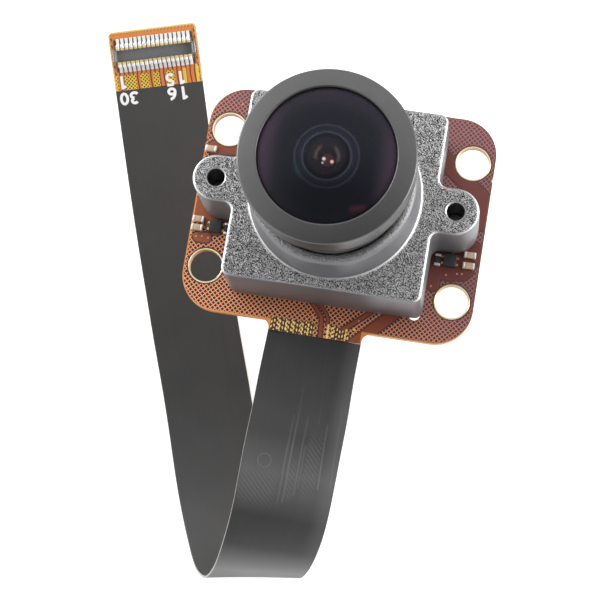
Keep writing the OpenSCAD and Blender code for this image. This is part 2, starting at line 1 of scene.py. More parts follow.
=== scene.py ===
"""Looks of a wide-angle camera module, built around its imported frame.

The sections follow the module from its tail up: the flex tail and its plug, the circuit board,
the holder, the lens in its barrel, the filter and sensor, the screws, and the small parts on the
board. Shapes are worked out in millimetres in the frame's own axes, and surface() turns them
into metres.
"""

import functools
import math

import bmesh
import bpy
import numpy as np
from mathutils import Matrix, Vector


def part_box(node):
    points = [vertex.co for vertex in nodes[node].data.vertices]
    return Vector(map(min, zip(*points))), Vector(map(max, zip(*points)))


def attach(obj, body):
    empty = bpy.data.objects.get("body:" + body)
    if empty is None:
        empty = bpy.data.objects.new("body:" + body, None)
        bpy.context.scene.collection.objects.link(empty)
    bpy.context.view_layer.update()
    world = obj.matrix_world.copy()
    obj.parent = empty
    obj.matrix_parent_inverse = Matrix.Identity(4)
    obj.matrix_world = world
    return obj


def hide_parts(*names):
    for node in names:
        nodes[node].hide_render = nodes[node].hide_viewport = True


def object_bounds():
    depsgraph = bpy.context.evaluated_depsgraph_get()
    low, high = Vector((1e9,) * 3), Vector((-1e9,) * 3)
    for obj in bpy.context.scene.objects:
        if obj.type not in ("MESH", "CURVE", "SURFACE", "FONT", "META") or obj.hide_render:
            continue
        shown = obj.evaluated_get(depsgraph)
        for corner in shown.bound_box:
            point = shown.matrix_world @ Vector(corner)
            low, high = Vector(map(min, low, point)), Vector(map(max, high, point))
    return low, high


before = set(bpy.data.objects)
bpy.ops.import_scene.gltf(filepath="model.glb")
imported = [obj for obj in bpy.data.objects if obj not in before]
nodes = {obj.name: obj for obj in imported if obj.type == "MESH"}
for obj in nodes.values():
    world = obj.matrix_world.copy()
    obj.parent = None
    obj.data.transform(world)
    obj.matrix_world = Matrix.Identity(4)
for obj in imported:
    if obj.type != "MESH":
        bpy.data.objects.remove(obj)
cad_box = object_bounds()
MM = 0.001

# ---------------------------------------------------------------- camera
# A long lens looks down on the front of the module from a little below and to the right, so
# that the tail side faces the viewer.
eye = Vector((14.92, -38.96, 166.2)) * MM
looking = Vector((-0.1003, 0.183, -0.978)).normalized()
to_the_right = Vector((0.984, 0.1634, -0.0703))
upright = to_the_right.cross(looking).normalized()
camera = bpy.data.objects.new("camera", bpy.data.cameras.new("camera"))
camera.data.lens = 120
camera.data.sensor_width = 36
camera.data.clip_start = 0.01
camera.matrix_world = Matrix.Translation(eye) @ Matrix(
    (looking.cross(upright), upright, -looking)).transposed().to_4x4()
bpy.context.scene.collection.objects.link(camera)
bpy.context.scene.camera = camera
bpy.context.scene.view_settings.view_transform = "Standard"


# ---------------------------------------------------------------- light and floor
# A pale studio table in a white tent that is open on the viewer's side, with a soft lamp low on
# each side. The lowest point of the module, on its folded tail, is just clear of the table.
class Nodes:
    """The node tree of a material or a world."""

    def __init__(self, owner):
        owner.use_nodes = True
        self.tree = owner.node_tree

    def node(self, kind, settings=None, inputs=None, output=0):
        """Adds a node. Its settings come first, then its sockets' values or links."""
        made = self.tree.nodes.new(kind)
        for name, value in (settings or {}).items():
            if name == "stops":
                ramp = made.color_ramp.elements
                while len(ramp) < len(value):
                    ramp.new(0.5)
                for stop, (place, code) in zip(ramp, value):
                    stop.position, stop.color = place, tint(code)
            else:
                setattr(made, name, value)
        for key, value in (inputs or {}).items():
            if isinstance(value, Socket):
                self.tree.links.new(value.output, made.inputs[key])
            else:
                made.inputs[key].default_value = value
        return Socket(self, made.outputs[output])

    def mix(self, share, first, second):
        """Colour that goes from the first to the second as share goes from 0 to 1. Each is a
        socket or a hex code."""
        first, second = (tint(c) if isinstance(c, str) else c for c in (first, second))
        return self.node("ShaderNodeMix", {"data_type": "RGBA"}, {0: share, 6: first, 7: second}, 2)

    def layers(self, colour, *over):
        """A colour with others laid over it in turn, each by its own share."""
        for share, other in over:
            colour = self.mix(share, colour, other)
        return colour


class Socket:
    """A node's output. Arithmetic on it adds Math nodes, so that a formula reads as one."""

    def __init__(self, nodes_of, output):
        self.nodes = nodes_of
        self.output = output

    def maths(self, operation, *values):
        return self.nodes.node("ShaderNodeMath", {"operation": operation}, dict(enumerate(values)))

    def __add__(self, other):
        return self.maths("ADD", self, other)

    def __sub__(self, other):
        return self.maths("SUBTRACT", self, other)

    def __mul__(self, other):
        return self.maths("MULTIPLY", self, other)

    def __truediv__(self, other):
        return self.maths("DIVIDE", self, other)

    def __rsub__(self, other):
        return self.maths("SUBTRACT", other, self)

    __radd__, __rmul__ = __add__, __mul__

    def __abs__(self):
        return self.maths("ABSOLUTE", self)

    def least(self, other):
        return self.maths("MINIMUM", self, other)

    def most(self, other):
        return self.maths("MAXIMUM", self, other)

    def root(self):
        return self.maths("SQRT", self)

    def wave(self):
        """1 at whole numbers and -1 half-way between them."""
        return self.maths("COSINE", self * (2 * math.pi))

    def over(self, limit, blur):
        """0 below the limit and 1 above it, softened over the blur."""
        return self.nodes.node("ShaderNodeMapRange", {"interpolation_type": "SMOOTHSTEP"},
                               {0: self, 1: limit - blur / 2, 2: limit + blur / 2})

    def under(self, limit, blur):
        return 1 - self.over(limit, blur)


def tint(code, opacity=1):
    """Linear colour of a hex code."""
    parts = [int(code[i:i + 2], 16) / 255 for i in (1, 3, 5)]
    return (*[c / 12.92 if c < 0.04045 else ((c + 0.055) / 1.055) ** 2.4 for c in parts], opacity)


OPENING = 0.13         # brightness of the tent's opening, on the viewer's side
WALLS = 1.4            # brightness of its walls
OPENING_AT = (0.18, -0.45, 0.875)
world = bpy.data.worlds.new("tent")
bpy.context.scene.world = world
tent = Nodes(world)
direction = tent.node("ShaderNodeTexCoord", {}, {}, "Generated")
toward = tent.node("ShaderNodeVectorMath", {"operation": "DOT_PRODUCT"},
                   {0: direction, 1: OPENING_AT}, "Value")
tent_light = WALLS - toward.over(0.76, 0.44) * (WALLS - OPENING)
seen = tent.node("ShaderNodeLightPath", {}, {}, "Is Camera Ray")
tent.tree.links.new((seen * (1 - tent_light) + tent_light).output,
                    tent.tree.nodes["Background"].inputs["Strength"])
tent.tree.nodes["Background"].inputs["Color"].default_value = (1, 1, 1, 1)


def lamp(name, toward, distance, side, level):
    """Square soft lamp that gives a white surface facing it the brightness of its level."""
    light = bpy.data.lights.new(name, "AREA")
    light.shape = "SQUARE"
    light.size = side
    light.energy = level * (math.pi * distance) ** 2
    stand = bpy.data.objects.new(name, light)
    place = Vector(toward).normalized() * distance
    stand.location = place
    stand.rotation_euler = (-place).to_track_quat("-Z", "Y").to_euler()
    bpy.context.scene.collection.objects.link(stand)


lamp("left_lamp", (-0.9, 0.35, 0.24), 0.5, 0.3, 0.9)
lamp("right_lamp", (0.92, 0.1, 0.24), 0.5, 0.3, 0.8)

FLOOR_DROP = 0.05      # clear height under the lowest point of the tail
FLOOR_SIDE = 4000
FLOOR_GLOW = 0.5       # what the paper adds where it is seen, mirrored or looked through
floor_z = cad_box[0].z / MM - FLOOR_DROP
floor_mesh = bpy.data.meshes.new("floor")
floor_mesh.from_pydata([(x * FLOOR_SIDE / 2 * MM, y * FLOOR_SIDE / 2 * MM, floor_z * MM)
                        for x, y in ((-1, -1), (1, -1), (1, 1), (-1, 1))], [], [(0, 1, 2, 3)])
floor = bpy.data.objects.new("floor", floor_mesh)
bpy.context.scene.collection.objects.link(floor)
paper = bpy.data.materials.new("pale paper")
sheet = Nodes(paper)
paper_inputs = sheet.tree.nodes["Principled BSDF"].inputs
for socket, value in (("Base Color", tint("#e9e9e9")), ("Roughness", 0.9),
                      ("Specular IOR Level", 0.1), ("Emission Color", (1, 1, 1, 1))):
    paper_inputs[socket].default_value = value
seen = sheet.node("ShaderNodeLightPath", {}, {}, "Is Camera Ray")
mirrored = sheet.node("ShaderNodeLightPath", {}, {}, "Is Glossy Ray")
through = sheet.node("ShaderNodeLightPath", {}, {}, "Is Transmission Ray")
sheet.tree.links.new((seen.most(mirrored).most(through) * FLOOR_GLOW).output,
                     paper_inputs["Emission Strength"])
floor_mesh.materials.append(paper)


# ---------------------------------------------------------------- flex tail
# One flexible circuit 8 mm wide, copper between two black cover films, cut from the sheet with
# the board. It leaves the neck flat, folds back under the board, and ends in the plug.
def unit(v):
    """Each row of v at length 1."""
    return v / np.linalg.norm(v, axis=-1, keepdims=True)


def b_spline(points, per_span):
    """Uniform cubic B-spline, with its end controls reflected so that it starts on the first.

    A place is a sum of four controls by the cubic weights; a heading is its derivative."""
    p = np.vstack([2 * points[0] - points[1], points, 2 * points[-1] - points[-2]])
    spans = len(points) - 1
    at = np.linspace(0, spans, spans * per_span + 1)
    i = np.minimum(at.astype(int), spans - 1)
    t = (at - i)[:, None]
    a, b, c, d = p[i], p[i + 1], p[i + 2], p[i + 3]
    place = ((1 - t) ** 3 * a + (3 * t ** 3 - 6 * t * t + 4) * b
             + (3 * t + 3 * t * t - 3 * t ** 3 + 1) * c + t ** 3 * d) / 6
    return place, (b - a) * (1 - t) ** 2 + (c - b) * (1 + 2 * t - 2 * t * t) + (d - c) * t * t


def surface(name, grids, finishes, wrap=(False, True), caps=(), attributes=None, parts=None,
            sharp=35):
    """Mesh piece from grids of points (rows, columns, xyz) in millimetres, standing in metres.

    wrap closes a grid's rows or columns on themselves, and caps names the rows, first 0 or
    last -1, that a flat face closes. Points that fall together, as at a pole, are merged."""
    vertices, faces = [], []
    start = 0
    for grid in grids:
        rows, columns = grid.shape[:2]
        index = start + np.arange(rows * columns).reshape(rows, columns)
        for row in caps:
            faces.append(index[row].tolist())
        if wrap[0]:
            index = np.vstack([index, index[:1]])
        if wrap[1]:
            index = np.hstack([index, index[:, :1]])
        faces += np.stack([index[:-1, :-1], index[:-1, 1:], index[1:, 1:], index[1:, :-1]],
                          axis=-1).reshape(-1, 4).tolist()
        vertices.append(grid.reshape(-1, 3))
        start += rows * columns
    mesh = bpy.data.meshes.new(name)
    mesh.from_pydata(np.vstack(vertices) * MM, [], faces)
    for key, values in (attributes or {}).items():
        mesh.attributes.new(key, "FLOAT", "POINT").data.foreach_set("value", values.ravel())
    if parts is not None:
        mesh.polygons.foreach_set("material_index", parts)
    tidy = bmesh.new()
    tidy.from_mesh(mesh)
    bmesh.ops.remove_doubles(tidy, verts=tidy.verts, dist=1e-8)
    bmesh.ops.dissolve_degenerate(tidy, edges=tidy.edges, dist=1e-8)
    bmesh.ops.recalc_face_normals(tidy, faces=tidy.faces)
    tidy.to_mesh(mesh)
    tidy.free()
    mesh.shade_smooth()
    mesh.set_sharp_from_angle(angle=math.radians(sharp))
    for finish in finishes:
        mesh.materials.append(finish.material)
    made = bpy.data.objects.new(name, mesh)
    bpy.context.scene.collection.objects.link(made)
    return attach(made, "root")


class Finish(Nodes):
    """A material that ends in one Principled shader. What is the same all over is given here."""

    def __init__(self, name, fixed):
        self.material = bpy.data.materials.new(name)
        super().__init__(self.material)
        self.shader = self.tree.nodes["Principled BSDF"]
        for socket, value in fixed.items():
            self.shader.inputs[socket].default_value = value

    def feed(self, socket, value):
        self.tree.links.new(value.output, self.shader.inputs[socket])

    def place(self):
        """Where a point is on the module, in millimetres, as one vector."""
        where = self.node("ShaderNodeTexCoord", {}, {}, "Object")
        return self.node("ShaderNodeVectorMath", {"operation": "SCALE"},
                         {0: where, "Scale": 1 / MM})

    def axes(self):
        """x, y and z of a point in millimetres."""
        where = self.place()
        return [self.node("ShaderNodeSeparateXYZ", {}, {0: where}, i) for i in range(3)]

    def noise(self, per_mm, detail=2, rough=0.5, where=None):
        """Cloudy noise from 0 to 1 with so many lumps to a millimetre."""
        return self.node("ShaderNodeTexNoise", {}, {
            "Vector": where or self.place(), "Scale": per_mm, "Detail": detail,
            "Roughness": rough})

    def mottle(self, per_mm, detail, first, second, rough=0.5):
        """Clouds the base colour from the first to the second, and returns the clouds."""
        clouds = self.noise(per_mm, detail, rough)
        self.feed("Base Color", self.mix(clouds, first, second))
        return clouds

    def attribute(self, name):
        return self.node("ShaderNodeAttribute", {"attribute_name": name}, {}, "Fac")

    def relief(self, height):
        """Bump whose height is in millimetres."""
        self.feed("Normal", self.node("ShaderNodeBump", {}, {"Height": height, "Distance": MM}))


def fit(made, slot, *stands_for):
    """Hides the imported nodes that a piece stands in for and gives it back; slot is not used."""
    if stands_for:
        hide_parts(*stands_for)
    return made


TAIL_WIDTH = 8
TAIL_THICK = 0.2
NECK_END = np.array([-0.4, -10.8, -0.1])
FOLD_LINE = np.array([0.98, 0.16, -0.07])      # the tail bends round lines nearly across it
TAIL_ROUTE = NECK_END + np.array([
    [0, 0, 0], [0, -1.5, 0.5], [0, -4, 1.5], [0.1, -7, 2.5], [0, -10, 3],
    [-0.1, -13, 2.5], [-0.3, -15.5, 1], [-0.7, -17.5, -0.5], [-1.2, -19, -2.5],
    [-1.8, -20, -5], [-2.6, -20.5, -7.5], [-3.5, -20, -10], [-4.5, -19, -12],
    [-5.6, -17, -14], [-6.8, -14.5, -15.5], [-8, -11.5, -16], [-9.3, -7.5, -16],
    [-10.6, -3.5, -15.5], [-12, 0.5, -14.5], [-13.4, 5, -13], [-15, 10, -11.5],
    [-16.6, 15.5, -9.5], [-18.1, 21, -7], [-19.6, 26.5, -4.5]])
END_CORNER = 0.4       # radius of the corners at the end
BARE_END = 5.3         # length at the end that has amber film instead of black
FILM_STEP = 0.02       # thickness of the black film over the amber one
TAIL_ROWS = 520
FACE_COLUMNS = 41
HATCH = 2.34           # lines of copper hatch to a millimetre, lengthwise and across

route, heading = b_spline(TAIL_ROUTE, 24)
heading[0] = (0, -1, 0)
run = np.concatenate([[0], np.cumsum(np.linalg.norm(np.diff(route, axis=0), axis=1))])
tail_length = run[-1]


def tail_frame(along):
    """Middle of the tail, its fold direction and its upward normal at lengths along it."""
    middle = np.stack([np.interp(along, run, route[:, i]) for i in range(3)], axis=-1)
    ahead = unit(np.stack([np.interp(along, run, heading[:, i]) for i in range(3)], axis=-1))
    across = unit(FOLD_LINE - (ahead @ FOLD_LINE)[..., None] * ahead)
    return middle, across, np.cross(ahead, across)


def tail_surface(along, across, side):
    """Points of the tail's face at each length and width: the middle line, plus the width along
    the fold direction, plus half the thickness along the normal, with slow waves."""
    middle, fold, up = tail_frame(along)
    fade = np.exp(-((along[:, None] - 40) / 18) ** 2)
    waves = 0.012 * np.sin(along[:, None] * 0.9 + across * 0.5) * fade
    bare = (along[:, None] > tail_length - BARE_END) & (side < 0)
    lift = side * (TAIL_THICK / 2 - FILM_STEP * bare) + waves
    return middle[:, None] + across[..., None] * fold[:, None] + lift[..., None] * up[:, None]


half = TAIL_WIDTH / 2
edge = 0.03            # how far the faces stop short of the cut edge
wide = np.linspace(-half + edge, half - edge, FACE_COLUMNS)
section_across = np.concatenate([wide, [half, half], wide[::-1], [-half, -half]])
section_side = np.concatenate([np.ones(FACE_COLUMNS), [0.6, -0.6],
                               -np.ones(FACE_COLUMNS), [-0.6, 0.6]])
along = np.sort(np.concatenate([np.linspace(0, tail_length, TAIL_ROWS),
                                tail_length - BARE_END + np.array([0, 0.01]),
                                tail_length - END_CORNER * (1 - np.sin(np.linspace(0, 1.5, 8)))]))
at_corner = np.clip(END_CORNER - (tail_length - along), 0, END_CORNER)
drawn_in = END_CORNER - np.sqrt(END_CORNER ** 2 - at_corner ** 2)
tail_grid = tail_surface(along, section_across * (1 - drawn_in / half)[:, None], section_side)
columns = len(section_across)
column_part = np.full(columns, 0)
column_part[FACE_COLUMNS - 1:FACE_COLUMNS + 2] = 1
column_part[2 * FACE_COLUMNS + 1:] = 1
part = np.tile(column_part, (len(along) - 1, 1))
bare_rows = along[:-1] > tail_length - BARE_END - 0.001
part[np.ix_(bare_rows, np.arange(FACE_COLUMNS + 2, 2 * FACE_COLUMNS + 1))] = 2


def most_of(masks):
    """The highest of several masks."""
    return functools.reduce(Socket.most, masks)


def stripe(value, middle, half_width, blur):
    """1 within the half width of the middle line."""
    return abs(value - middle).under(half_width, blur)


def segment(x, y, start, stop):
    """Distance from a point to the line between two places."""
    dx, dy = stop[0] - start[0], stop[1] - start[1]
    share = ((x - start[0]) * dx + (y - start[1]) * dy) / (dx * dx + dy * dy)
    share = share.most(0).least(1)
    gap_x, gap_y = x - start[0] - share * dx, y - start[1] - share * dy
    return (gap_x * gap_x + gap_y * gap_y).root()


def chain(x, y, *places):
    """Distance from a point to a line through several places."""
    gap = segment(x, y, places[0], places[1])
    for start, stop in zip(places[1:], places[2:]):
        gap = gap.least(segment(x, y, start, stop))
    return gap


def ring_gap(x, y, middle):
    """Distance from a point to a middle."""
    dx, dy = x - middle[0], y - middle[1]
    return (dx * dx + dy * dy).root()


black_film = Finish("black cover film", {"Specular IOR Level": 0.3, "Coat Weight": 0.08,
                                         "Coat Roughness": 0.35})
across_tail, along_tail = black_film.attribute("across"), black_film.attribute("along")
outer_face = black_film.attribute("outer").over(0, 0.2)
flat = black_film.node("ShaderNodeCombineXYZ", {}, {0: across_tail, 1: along_tail})
streaks = black_film.noise(1, 3, 0.6, black_film.node(
    "ShaderNodeVectorMath", {"operation": "MULTIPLY"}, {0: flat, 1: (6, 0.12, 1)}))
grain = black_film.noise(14, 2, 0.6, flat)
cloud = black_film.noise(0.35, 3, 0.5, flat)
shade = streaks * 0.5 + cloud * 0.5
# painted light and shade: the film is lightened and darkened in bands along the tail where its
# bends catch or lose the light, and a painted highlight lightens one edge of the run near the neck
painted_light_bands = black_film.node("ShaderNodeValToRGB", {"stops": [
    (0.0, "#282828"), (0.07, "#242424"), (0.115, "#262626"), (0.152, "#525252"),
    (0.172, "#4a4a4a"), (0.2, "#202020"), (0.24, "#1e1e1e"), (0.29, "#707070"),
    (0.32, "#393939"), (0.43, "#353535"), (0.6, "#2e2e2e"), (0.85, "#3e3e3e"),
    (1.0, "#404040")]}, {0: along_tail / tail_length})
painted_light_bands = black_film.mix(across_tail.over(3.1, 1.6) * along_tail.under(20, 6) * 0.12, painted_light_bands, "#a0a0a0")

# the copper under the film shows as long ridges, with hatch beside them, where the tail bends,
# and as rings over its filled holes; they are raised in relief and also painted lighter as a
# painted highlight
ridges = most_of(
    [segment(across_tail, along_tail, start, stop).under(0.06, 0.09) * strong
     for start, stop, strong in (
         ((-0.05, 5.0), (-0.05, 15.0), 1), ((-0.42, 7.6), (-0.45, 15.2), 0.8),
         ((0.75, 7.6), (0.75, 14.2), 0.8), ((1.0, 10.0), (1.0, 13.6), 0.6),
         ((2.45, 8.0), (2.62, 13.4), 1), ((1.6, 3.5), (1.7, 8.0), 0.4),
         ((3.35, 5.0), (3.6, 13.0), 0.5))]
    + [stripe(ring_gap(across_tail, along_tail, place), size, 0.04, 0.08) * strong
       for place, size, strong in (
           ((-2.45, 2.35), 0.42, 0.25), ((1.8, 2.35), 0.5, 0.5), ((2.05, 3.7), 0.48, 0.3),
           ((-2.1, 11.8), 0.55, 0.7), ((1.7, 18), 0.5, 0.3))])
hatch = ((across_tail - along_tail) * HATCH).wave() * 0.5 + 0.5
pressed = most_of(
    stripe(across_tail, *over_width) * stripe(along_tail, *over_length)
    for over_width, over_length in (((-2.4, 1.5, 1.2), (14.1, 1.4, 1.8)),
                                    ((1.8, 0.6, 0.2), (11.5, 2.4, 2.5)),
                                    ((0.3, 0.3, 0.2), (13, 1.6, 1.5))))
raised = (ridges * (stripe(along_tail, 12, 3, 8) * 0.85 + 0.15)).most(hatch * pressed * 0.5)
raised = raised * outer_face

dark_film = black_film.mix(shade * 0.08 + grain * 0.04, painted_light_bands, "#8c8c8c")
# painted highlight: the raised ridges, rings and hatch are lightened in colour
dark_film = black_film.mix(raised * 0.13, dark_film, "#b0b0b0")
black_film.feed("Base Color", dark_film)
black_film.feed("Roughness", 0.36 + grain * 0.14 + cloud * 0.1)
black_film.relief(raised * 0.02 + streaks * 0.002 + grain * 0.0006)

cut_edge = Finish("cut edge of the film", {"Roughness": 0.35})
cut_edge.mottle(5, 2, "#6f6a64", "#a39c93")

amber_end = Finish("amber film over copper", {"Coat Weight": 0.6, "Coat Roughness": 0.15})
across_tail, left = amber_end.attribute("across"), tail_length - amber_end.attribute("along")


def area(middle, half_width, first, last, blur=0.06):
    """1 in a rectangle of the tail's end, first and last counted from its very end."""
    return stripe(across_tail, middle, half_width, blur) * stripe(
        left, (first + last) / 2, (last - first) / 2, blur)


# copper patches, gold strips and a hatched rim show through the amber film, and a painted shadow
# darkens it under the plug
mesh_lines = ((across_tail + left) * 3).wave().most(((across_tail - left) * 3).wave())
mesh_lines = mesh_lines.over(0.3, 0.3)
patches = most_of(area(middle, half_width, 3.95, BARE_END) for middle, half_width in (
    (-3.75, 0.14), (-2.5, 0.54), (-1.2, 0.38), (-0.15, 0.31), (1.15, 0.36)))
gold = most_of((area(2.45, 0.14, 3.9, BARE_END), area(3.6, 0.13, 3.7, BARE_END),
                patches * mesh_lines))
gaps = ((across_tail + 0.2 + (left * 0.45).wave() * 0.03) * 2.5).wave().over(0.6, 0.4)
gaps = gaps * stripe(left, 4.1, 1.3, 0.1)
rim = abs(across_tail).over(half - 0.32, 0.1).most(left.under(0.3, 0.1))
border = abs(across_tail).over(half - 0.14, 0.06).most(left.under(0.12, 0.06))
vias = ((across_tail * 1.6).wave() + (left * 1.6).wave()).over(1.7, 0.1) * rim
rim_hatch = ((across_tail + left) * 3.2).wave() * 0.5 + 0.5
# painted shadow: the film is darkened under and between the plug's contacts
painted_plug_shadow = area(0, 3.6, 0.7, 3.6, 0.2)
film = amber_end.layers("#d88448", (gaps, "#7a3518"), (patches, "#5a3008"),
                        (painted_plug_shadow, "#4e3a34"),
                        (rim, amber_end.mix(rim_hatch, "#a4612f", "#e0a060")),
                        (vias, "#4a2208"), (border, "#f2c872"), (gold, "#ffdc5a"))
amber_end.feed("Base Color", film)
amber_end.feed("Metallic", gold * 0.3)
amber_end.feed("Roughness", 0.45 - gold * 0.15)
amber_end.relief(gold * 0.01 - gaps * 0.01)

tail = surface("flex_tail_film", [tail_grid], [black_film, cut_edge, amber_end], caps=(0, -1),
               attributes={"across": np.tile(section_across, (len(along), 1)),
                           "along": np.tile(along[:, None], (1, columns)),
                           "outer": np.tile(section_side, (len(along), 1))},
               parts=np.concatenate([[1, 1], part.ravel()]))
fit(tail, "black_film", "flex_tail")


# ---------------------------------------------------------------- board-to-board plug
# The plug is soldered on the tail's end with its contacts up, over an amber stiffener. Its
# housing is moulded in grey nylon round two rows of seventeen bent and gilt contacts.
end_ahead = unit(TAIL_ROUTE[-1] - TAIL_ROUTE[-2])
end_fold = unit(FOLD_LINE - (FOLD_LINE @ end_ahead) * end_ahead)
end_out = np.cross(end_fold, end_ahead)


def at_tail_end(grid):
    """Moves points from the plug's own axes (across, along, out) to the end of the tail."""
    return TAIL_ROUTE[-1] + grid @ np.stack([end_fold, end_ahead, end_out])


def loops(rows, steps=3):
    """Rounded rectangles stacked in a grid: each row gives half width, half depth, corner
    radius, and height, and a corner is a quarter circle about its own centre."""
    turn = np.linspace(0, math.pi / 2, steps + 1)
    turn = np.concatenate([turn + k * math.pi / 2 for k in range(4)])
    sx = np.repeat([1, -1, -1, 1], steps + 1)
    sy = np.repeat([1, 1, -1, -1], steps + 1)
    half_x, half_y, radius, z = (np.array(v, float)[:, None] for v in zip(*rows))
    return np.stack(np.broadcast_arrays((half_x - radius) * sx + radius * np.cos(turn),
                                        (half_y - radius) * sy + radius * np.sin(turn), z), axis=-1)


def moulded(half_x, half_y, low, high, ease, draft=0.0):
    """Rows of a block with eased edges and sides that lean in by the draft."""
    rows = [(half_x - ease, half_y - ease, ease, low), (half_x, half_y, 2 * ease, low + ease)]
    for turn in np.linspace(0, math.pi / 2, 4):
        inset = draft + ease * (1 - math.cos(turn))
        rows.append((half_x - inset, half_y - inset, 2 * ease, high - ease + ease * math.sin(turn)))
    return rows


CONTACTS = 17
PITCH = 0.4
PLUG_INSET = 2.15      # from the tail's end to the middle of the plug
FACE = TAIL_THICK / 2
HOUSING = (7.5, 1.9, 0.7)              # length, width and height
plug_y = -PLUG_INSET
hollow = (CONTACTS * PITCH / 2, HOUSING[1] / 2 - 0.4)
half_l, half_w, top = HOUSING[0] / 2 - 0.3, HOUSING[1] / 2, FACE + HOUSING[2]
housing_rows = [(half_l, half_w, 0.08, FACE), (half_l, half_w, 0.08, top - 0.05),
                (half_l - 0.015, half_w - 0.015, 0.08, top - 0.015),
                (half_l - 0.05, half_w - 0.05, 0.08, top),
                (hollow[0] + 0.04, hollow[1] + 0.04, 0.08, top),
                (hollow[0] + 0.01, hollow[1] + 0.01, 0.06, top - 0.02),
                (*hollow, 0.05, top - 0.06), (*hollow, 0.05, FACE + 0.25)]
grey_nylon = Finish("grey moulded nylon", {"Roughness": 0.5})
speck = grey_nylon.mottle(9, 3, "#66686b", "#8a8b8e")
grey_nylon.relief(speck * 0.004)
end_block = loops(moulded(0.19, 0.55, 0, HOUSING[2] - 0.02, 0.04))
housing_parts = [at_tail_end(loops(housing_rows) + [0, plug_y, 0])]
for end in (-1, 1):
    housing_parts.append(at_tail_end(end_block + [end * (HOUSING[0] / 2 - 0.19), plug_y, FACE]))
housing = surface("plug_body", housing_parts, [grey_nylon], caps=(0, -1))
fit(housing, "grey_plastic", "plug_housing")


def strip(path, width, thick):
    """Grid of a flat strip bent along a path in its own (y, z) plane: the rectangle of width
    and thickness is carried along the path, square to it."""
    path = np.array(path, float)
    ahead = unit(np.gradient(path, axis=0))
    square = np.stack([-ahead[:, 1], ahead[:, 0]], axis=-1)
    corners = np.array([[-1, -0.5], [-0.8, -1], [0.8, -1], [1, -0.5],
                        [1, 0.5], [0.8, 1], [-0.8, 1], [-1, 0.5]]) / 2
    yz = path[:, None] + corners[None, :, 1:] * thick * square[:, None]
    x = np.broadcast_to(corners[:, 0] * width, yz.shape[:2])
    return np.concatenate([x[..., None], yz], axis=-1)


def bend(middle, radius, start, stop, steps=5):
    """Points of an arc, its angles in degrees."""
    turn = np.radians(np.linspace(start, stop, steps))
    return [(middle[0] + radius * math.cos(a), middle[1] + radius * math.sin(a)) for a in turn]


SHEET = 0.08           # thickness of the contacts' metal
contact_path = ([(0.5, 0.04), (0.3, 0.04), (0.2, 0.05)] + bend((0.16, 0.16), 0.12, -90, -180)
                + bend((-0.06, HOUSING[2] - 0.02), 0.1, 0, 90)
                + [(-0.3, HOUSING[2] + 0.08), (-0.36, HOUSING[2] + 0.07),
                   (-0.4, HOUSING[2] - 0.02)])
contact_path = [(y, min(z, HOUSING[2] + SHEET / 2)) for y, z in contact_path]
one_contact = strip(contact_path, 0.27, SHEET) + [0, HOUSING[1] / 2, FACE]
one_joint = loops([(0.145, 0.29, 0.05, 0), (0.14, 0.28, 0.05, 0.06), (0.125, 0.26, 0.05, 0.09),
                   (0.1, 0.2, 0.05, 0.1)]) + [0, HOUSING[1] / 2 + 0.3, FACE]
contacts, joints = [], []
hold_down = loops(moulded(0.035, 0.42, 0, HOUSING[2], 0.02)) + [0, plug_y, FACE]
for across in (-3.71, -3.5, 3.5, 3.71):
    joints.append(at_tail_end(hold_down + [across, 0, 0]))
for side in (1, -1):
    for i in range(CONTACTS):
        shift = [(i - (CONTACTS - 1) / 2) * PITCH, plug_y, 0]
        contacts.append(at_tail_end(one_contact * [1, side, 1] + shift))
        joints.append(at_tail_end(one_joint * [1, side, 1] + shift))
gilt = Finish("gilt bronze", {"Metallic": 1.0, "Roughness": 0.25})
gilt.mottle(4, 2, "#e2bd68", "#f8e2a0")
gilt.relief(gilt.noise(20, 2) * 0.002)
spring_metal = Finish("bronze, gilt at the tip and tinned at the foot",
                      {"Metallic": 0.35, "Roughness": 0.3})
tin_side = spring_metal.attribute("from_middle").over(0.74, 0.03)
tip_tone = spring_metal.mix(spring_metal.noise(4, 2), "#e2bd68", "#fbe7a6")
spring_metal.feed("Base Color", spring_metal.mix(tin_side, tip_tone, "#ffffff"))
spring_metal.relief(spring_metal.noise(20, 2) * 0.001)
from_middle = np.tile(one_contact[..., 1], (len(contacts), 1))
fit(surface("plug_springs", contacts, [spring_metal], caps=(0, -1),
            attributes={"from_middle": from_middle}), "gold_plate", "plug_contacts")
bright_solder = Finish("bright solder", {"Metallic": 0.15, "Roughness": 0.3})
bright_solder.mottle(6, 2, "#e6e6e4", "#ffffff")
bright_solder.relief(bright_solder.noise(8, 2) * 0.01)
fit(surface("plug_joints", joints, [bright_solder], caps=(0, -1)), "solder", "plug_solder")

amber_laminate = Finish("amber laminate", {"Coat Weight": 0.3, "Coat Roughness": 0.3,
                                           "Roughness": 0.5})
weave = amber_laminate.axes()
woven = ((weave[0] * 1.6).wave() + (weave[1] * 1.6).wave()) * 0.25 + 0.5
amber_laminate.feed("Base Color", amber_laminate.mix(woven * amber_laminate.noise(0.8, 3),
                                                     "#b5701f", "#dda14a"))
amber_laminate.relief(woven * 0.004)
stiff_rows = [(half_x, 2.5, END_CORNER, z) for half_x, z in (
    (TAIL_WIDTH / 2 - 0.03, -FACE - 0.3), (TAIL_WIDTH / 2, -FACE - 0.27), (TAIL_WIDTH / 2, -FACE))]
fit(surface("plug_backing", [at_tail_end(loops(stiff_rows) + [0, -2.5, 0])], [amber_laminate],
            caps=(0, -1)), "amber_laminate", "plug_stiffener")

# the pin numbers are printed beside the plug's corners in strokes of one width, and turned to be
# read from the other side
white_ink = Finish("white ink", {"Roughness": 0.6})
white_ink.mottle(5, 3, "#ececec", "#ffffff")
INK = 0.012            # thickness of the ink
PEN = 0.26             # width of the printed strokes
DIGIT_SIZE = (0.84, 1.2)               # width and height


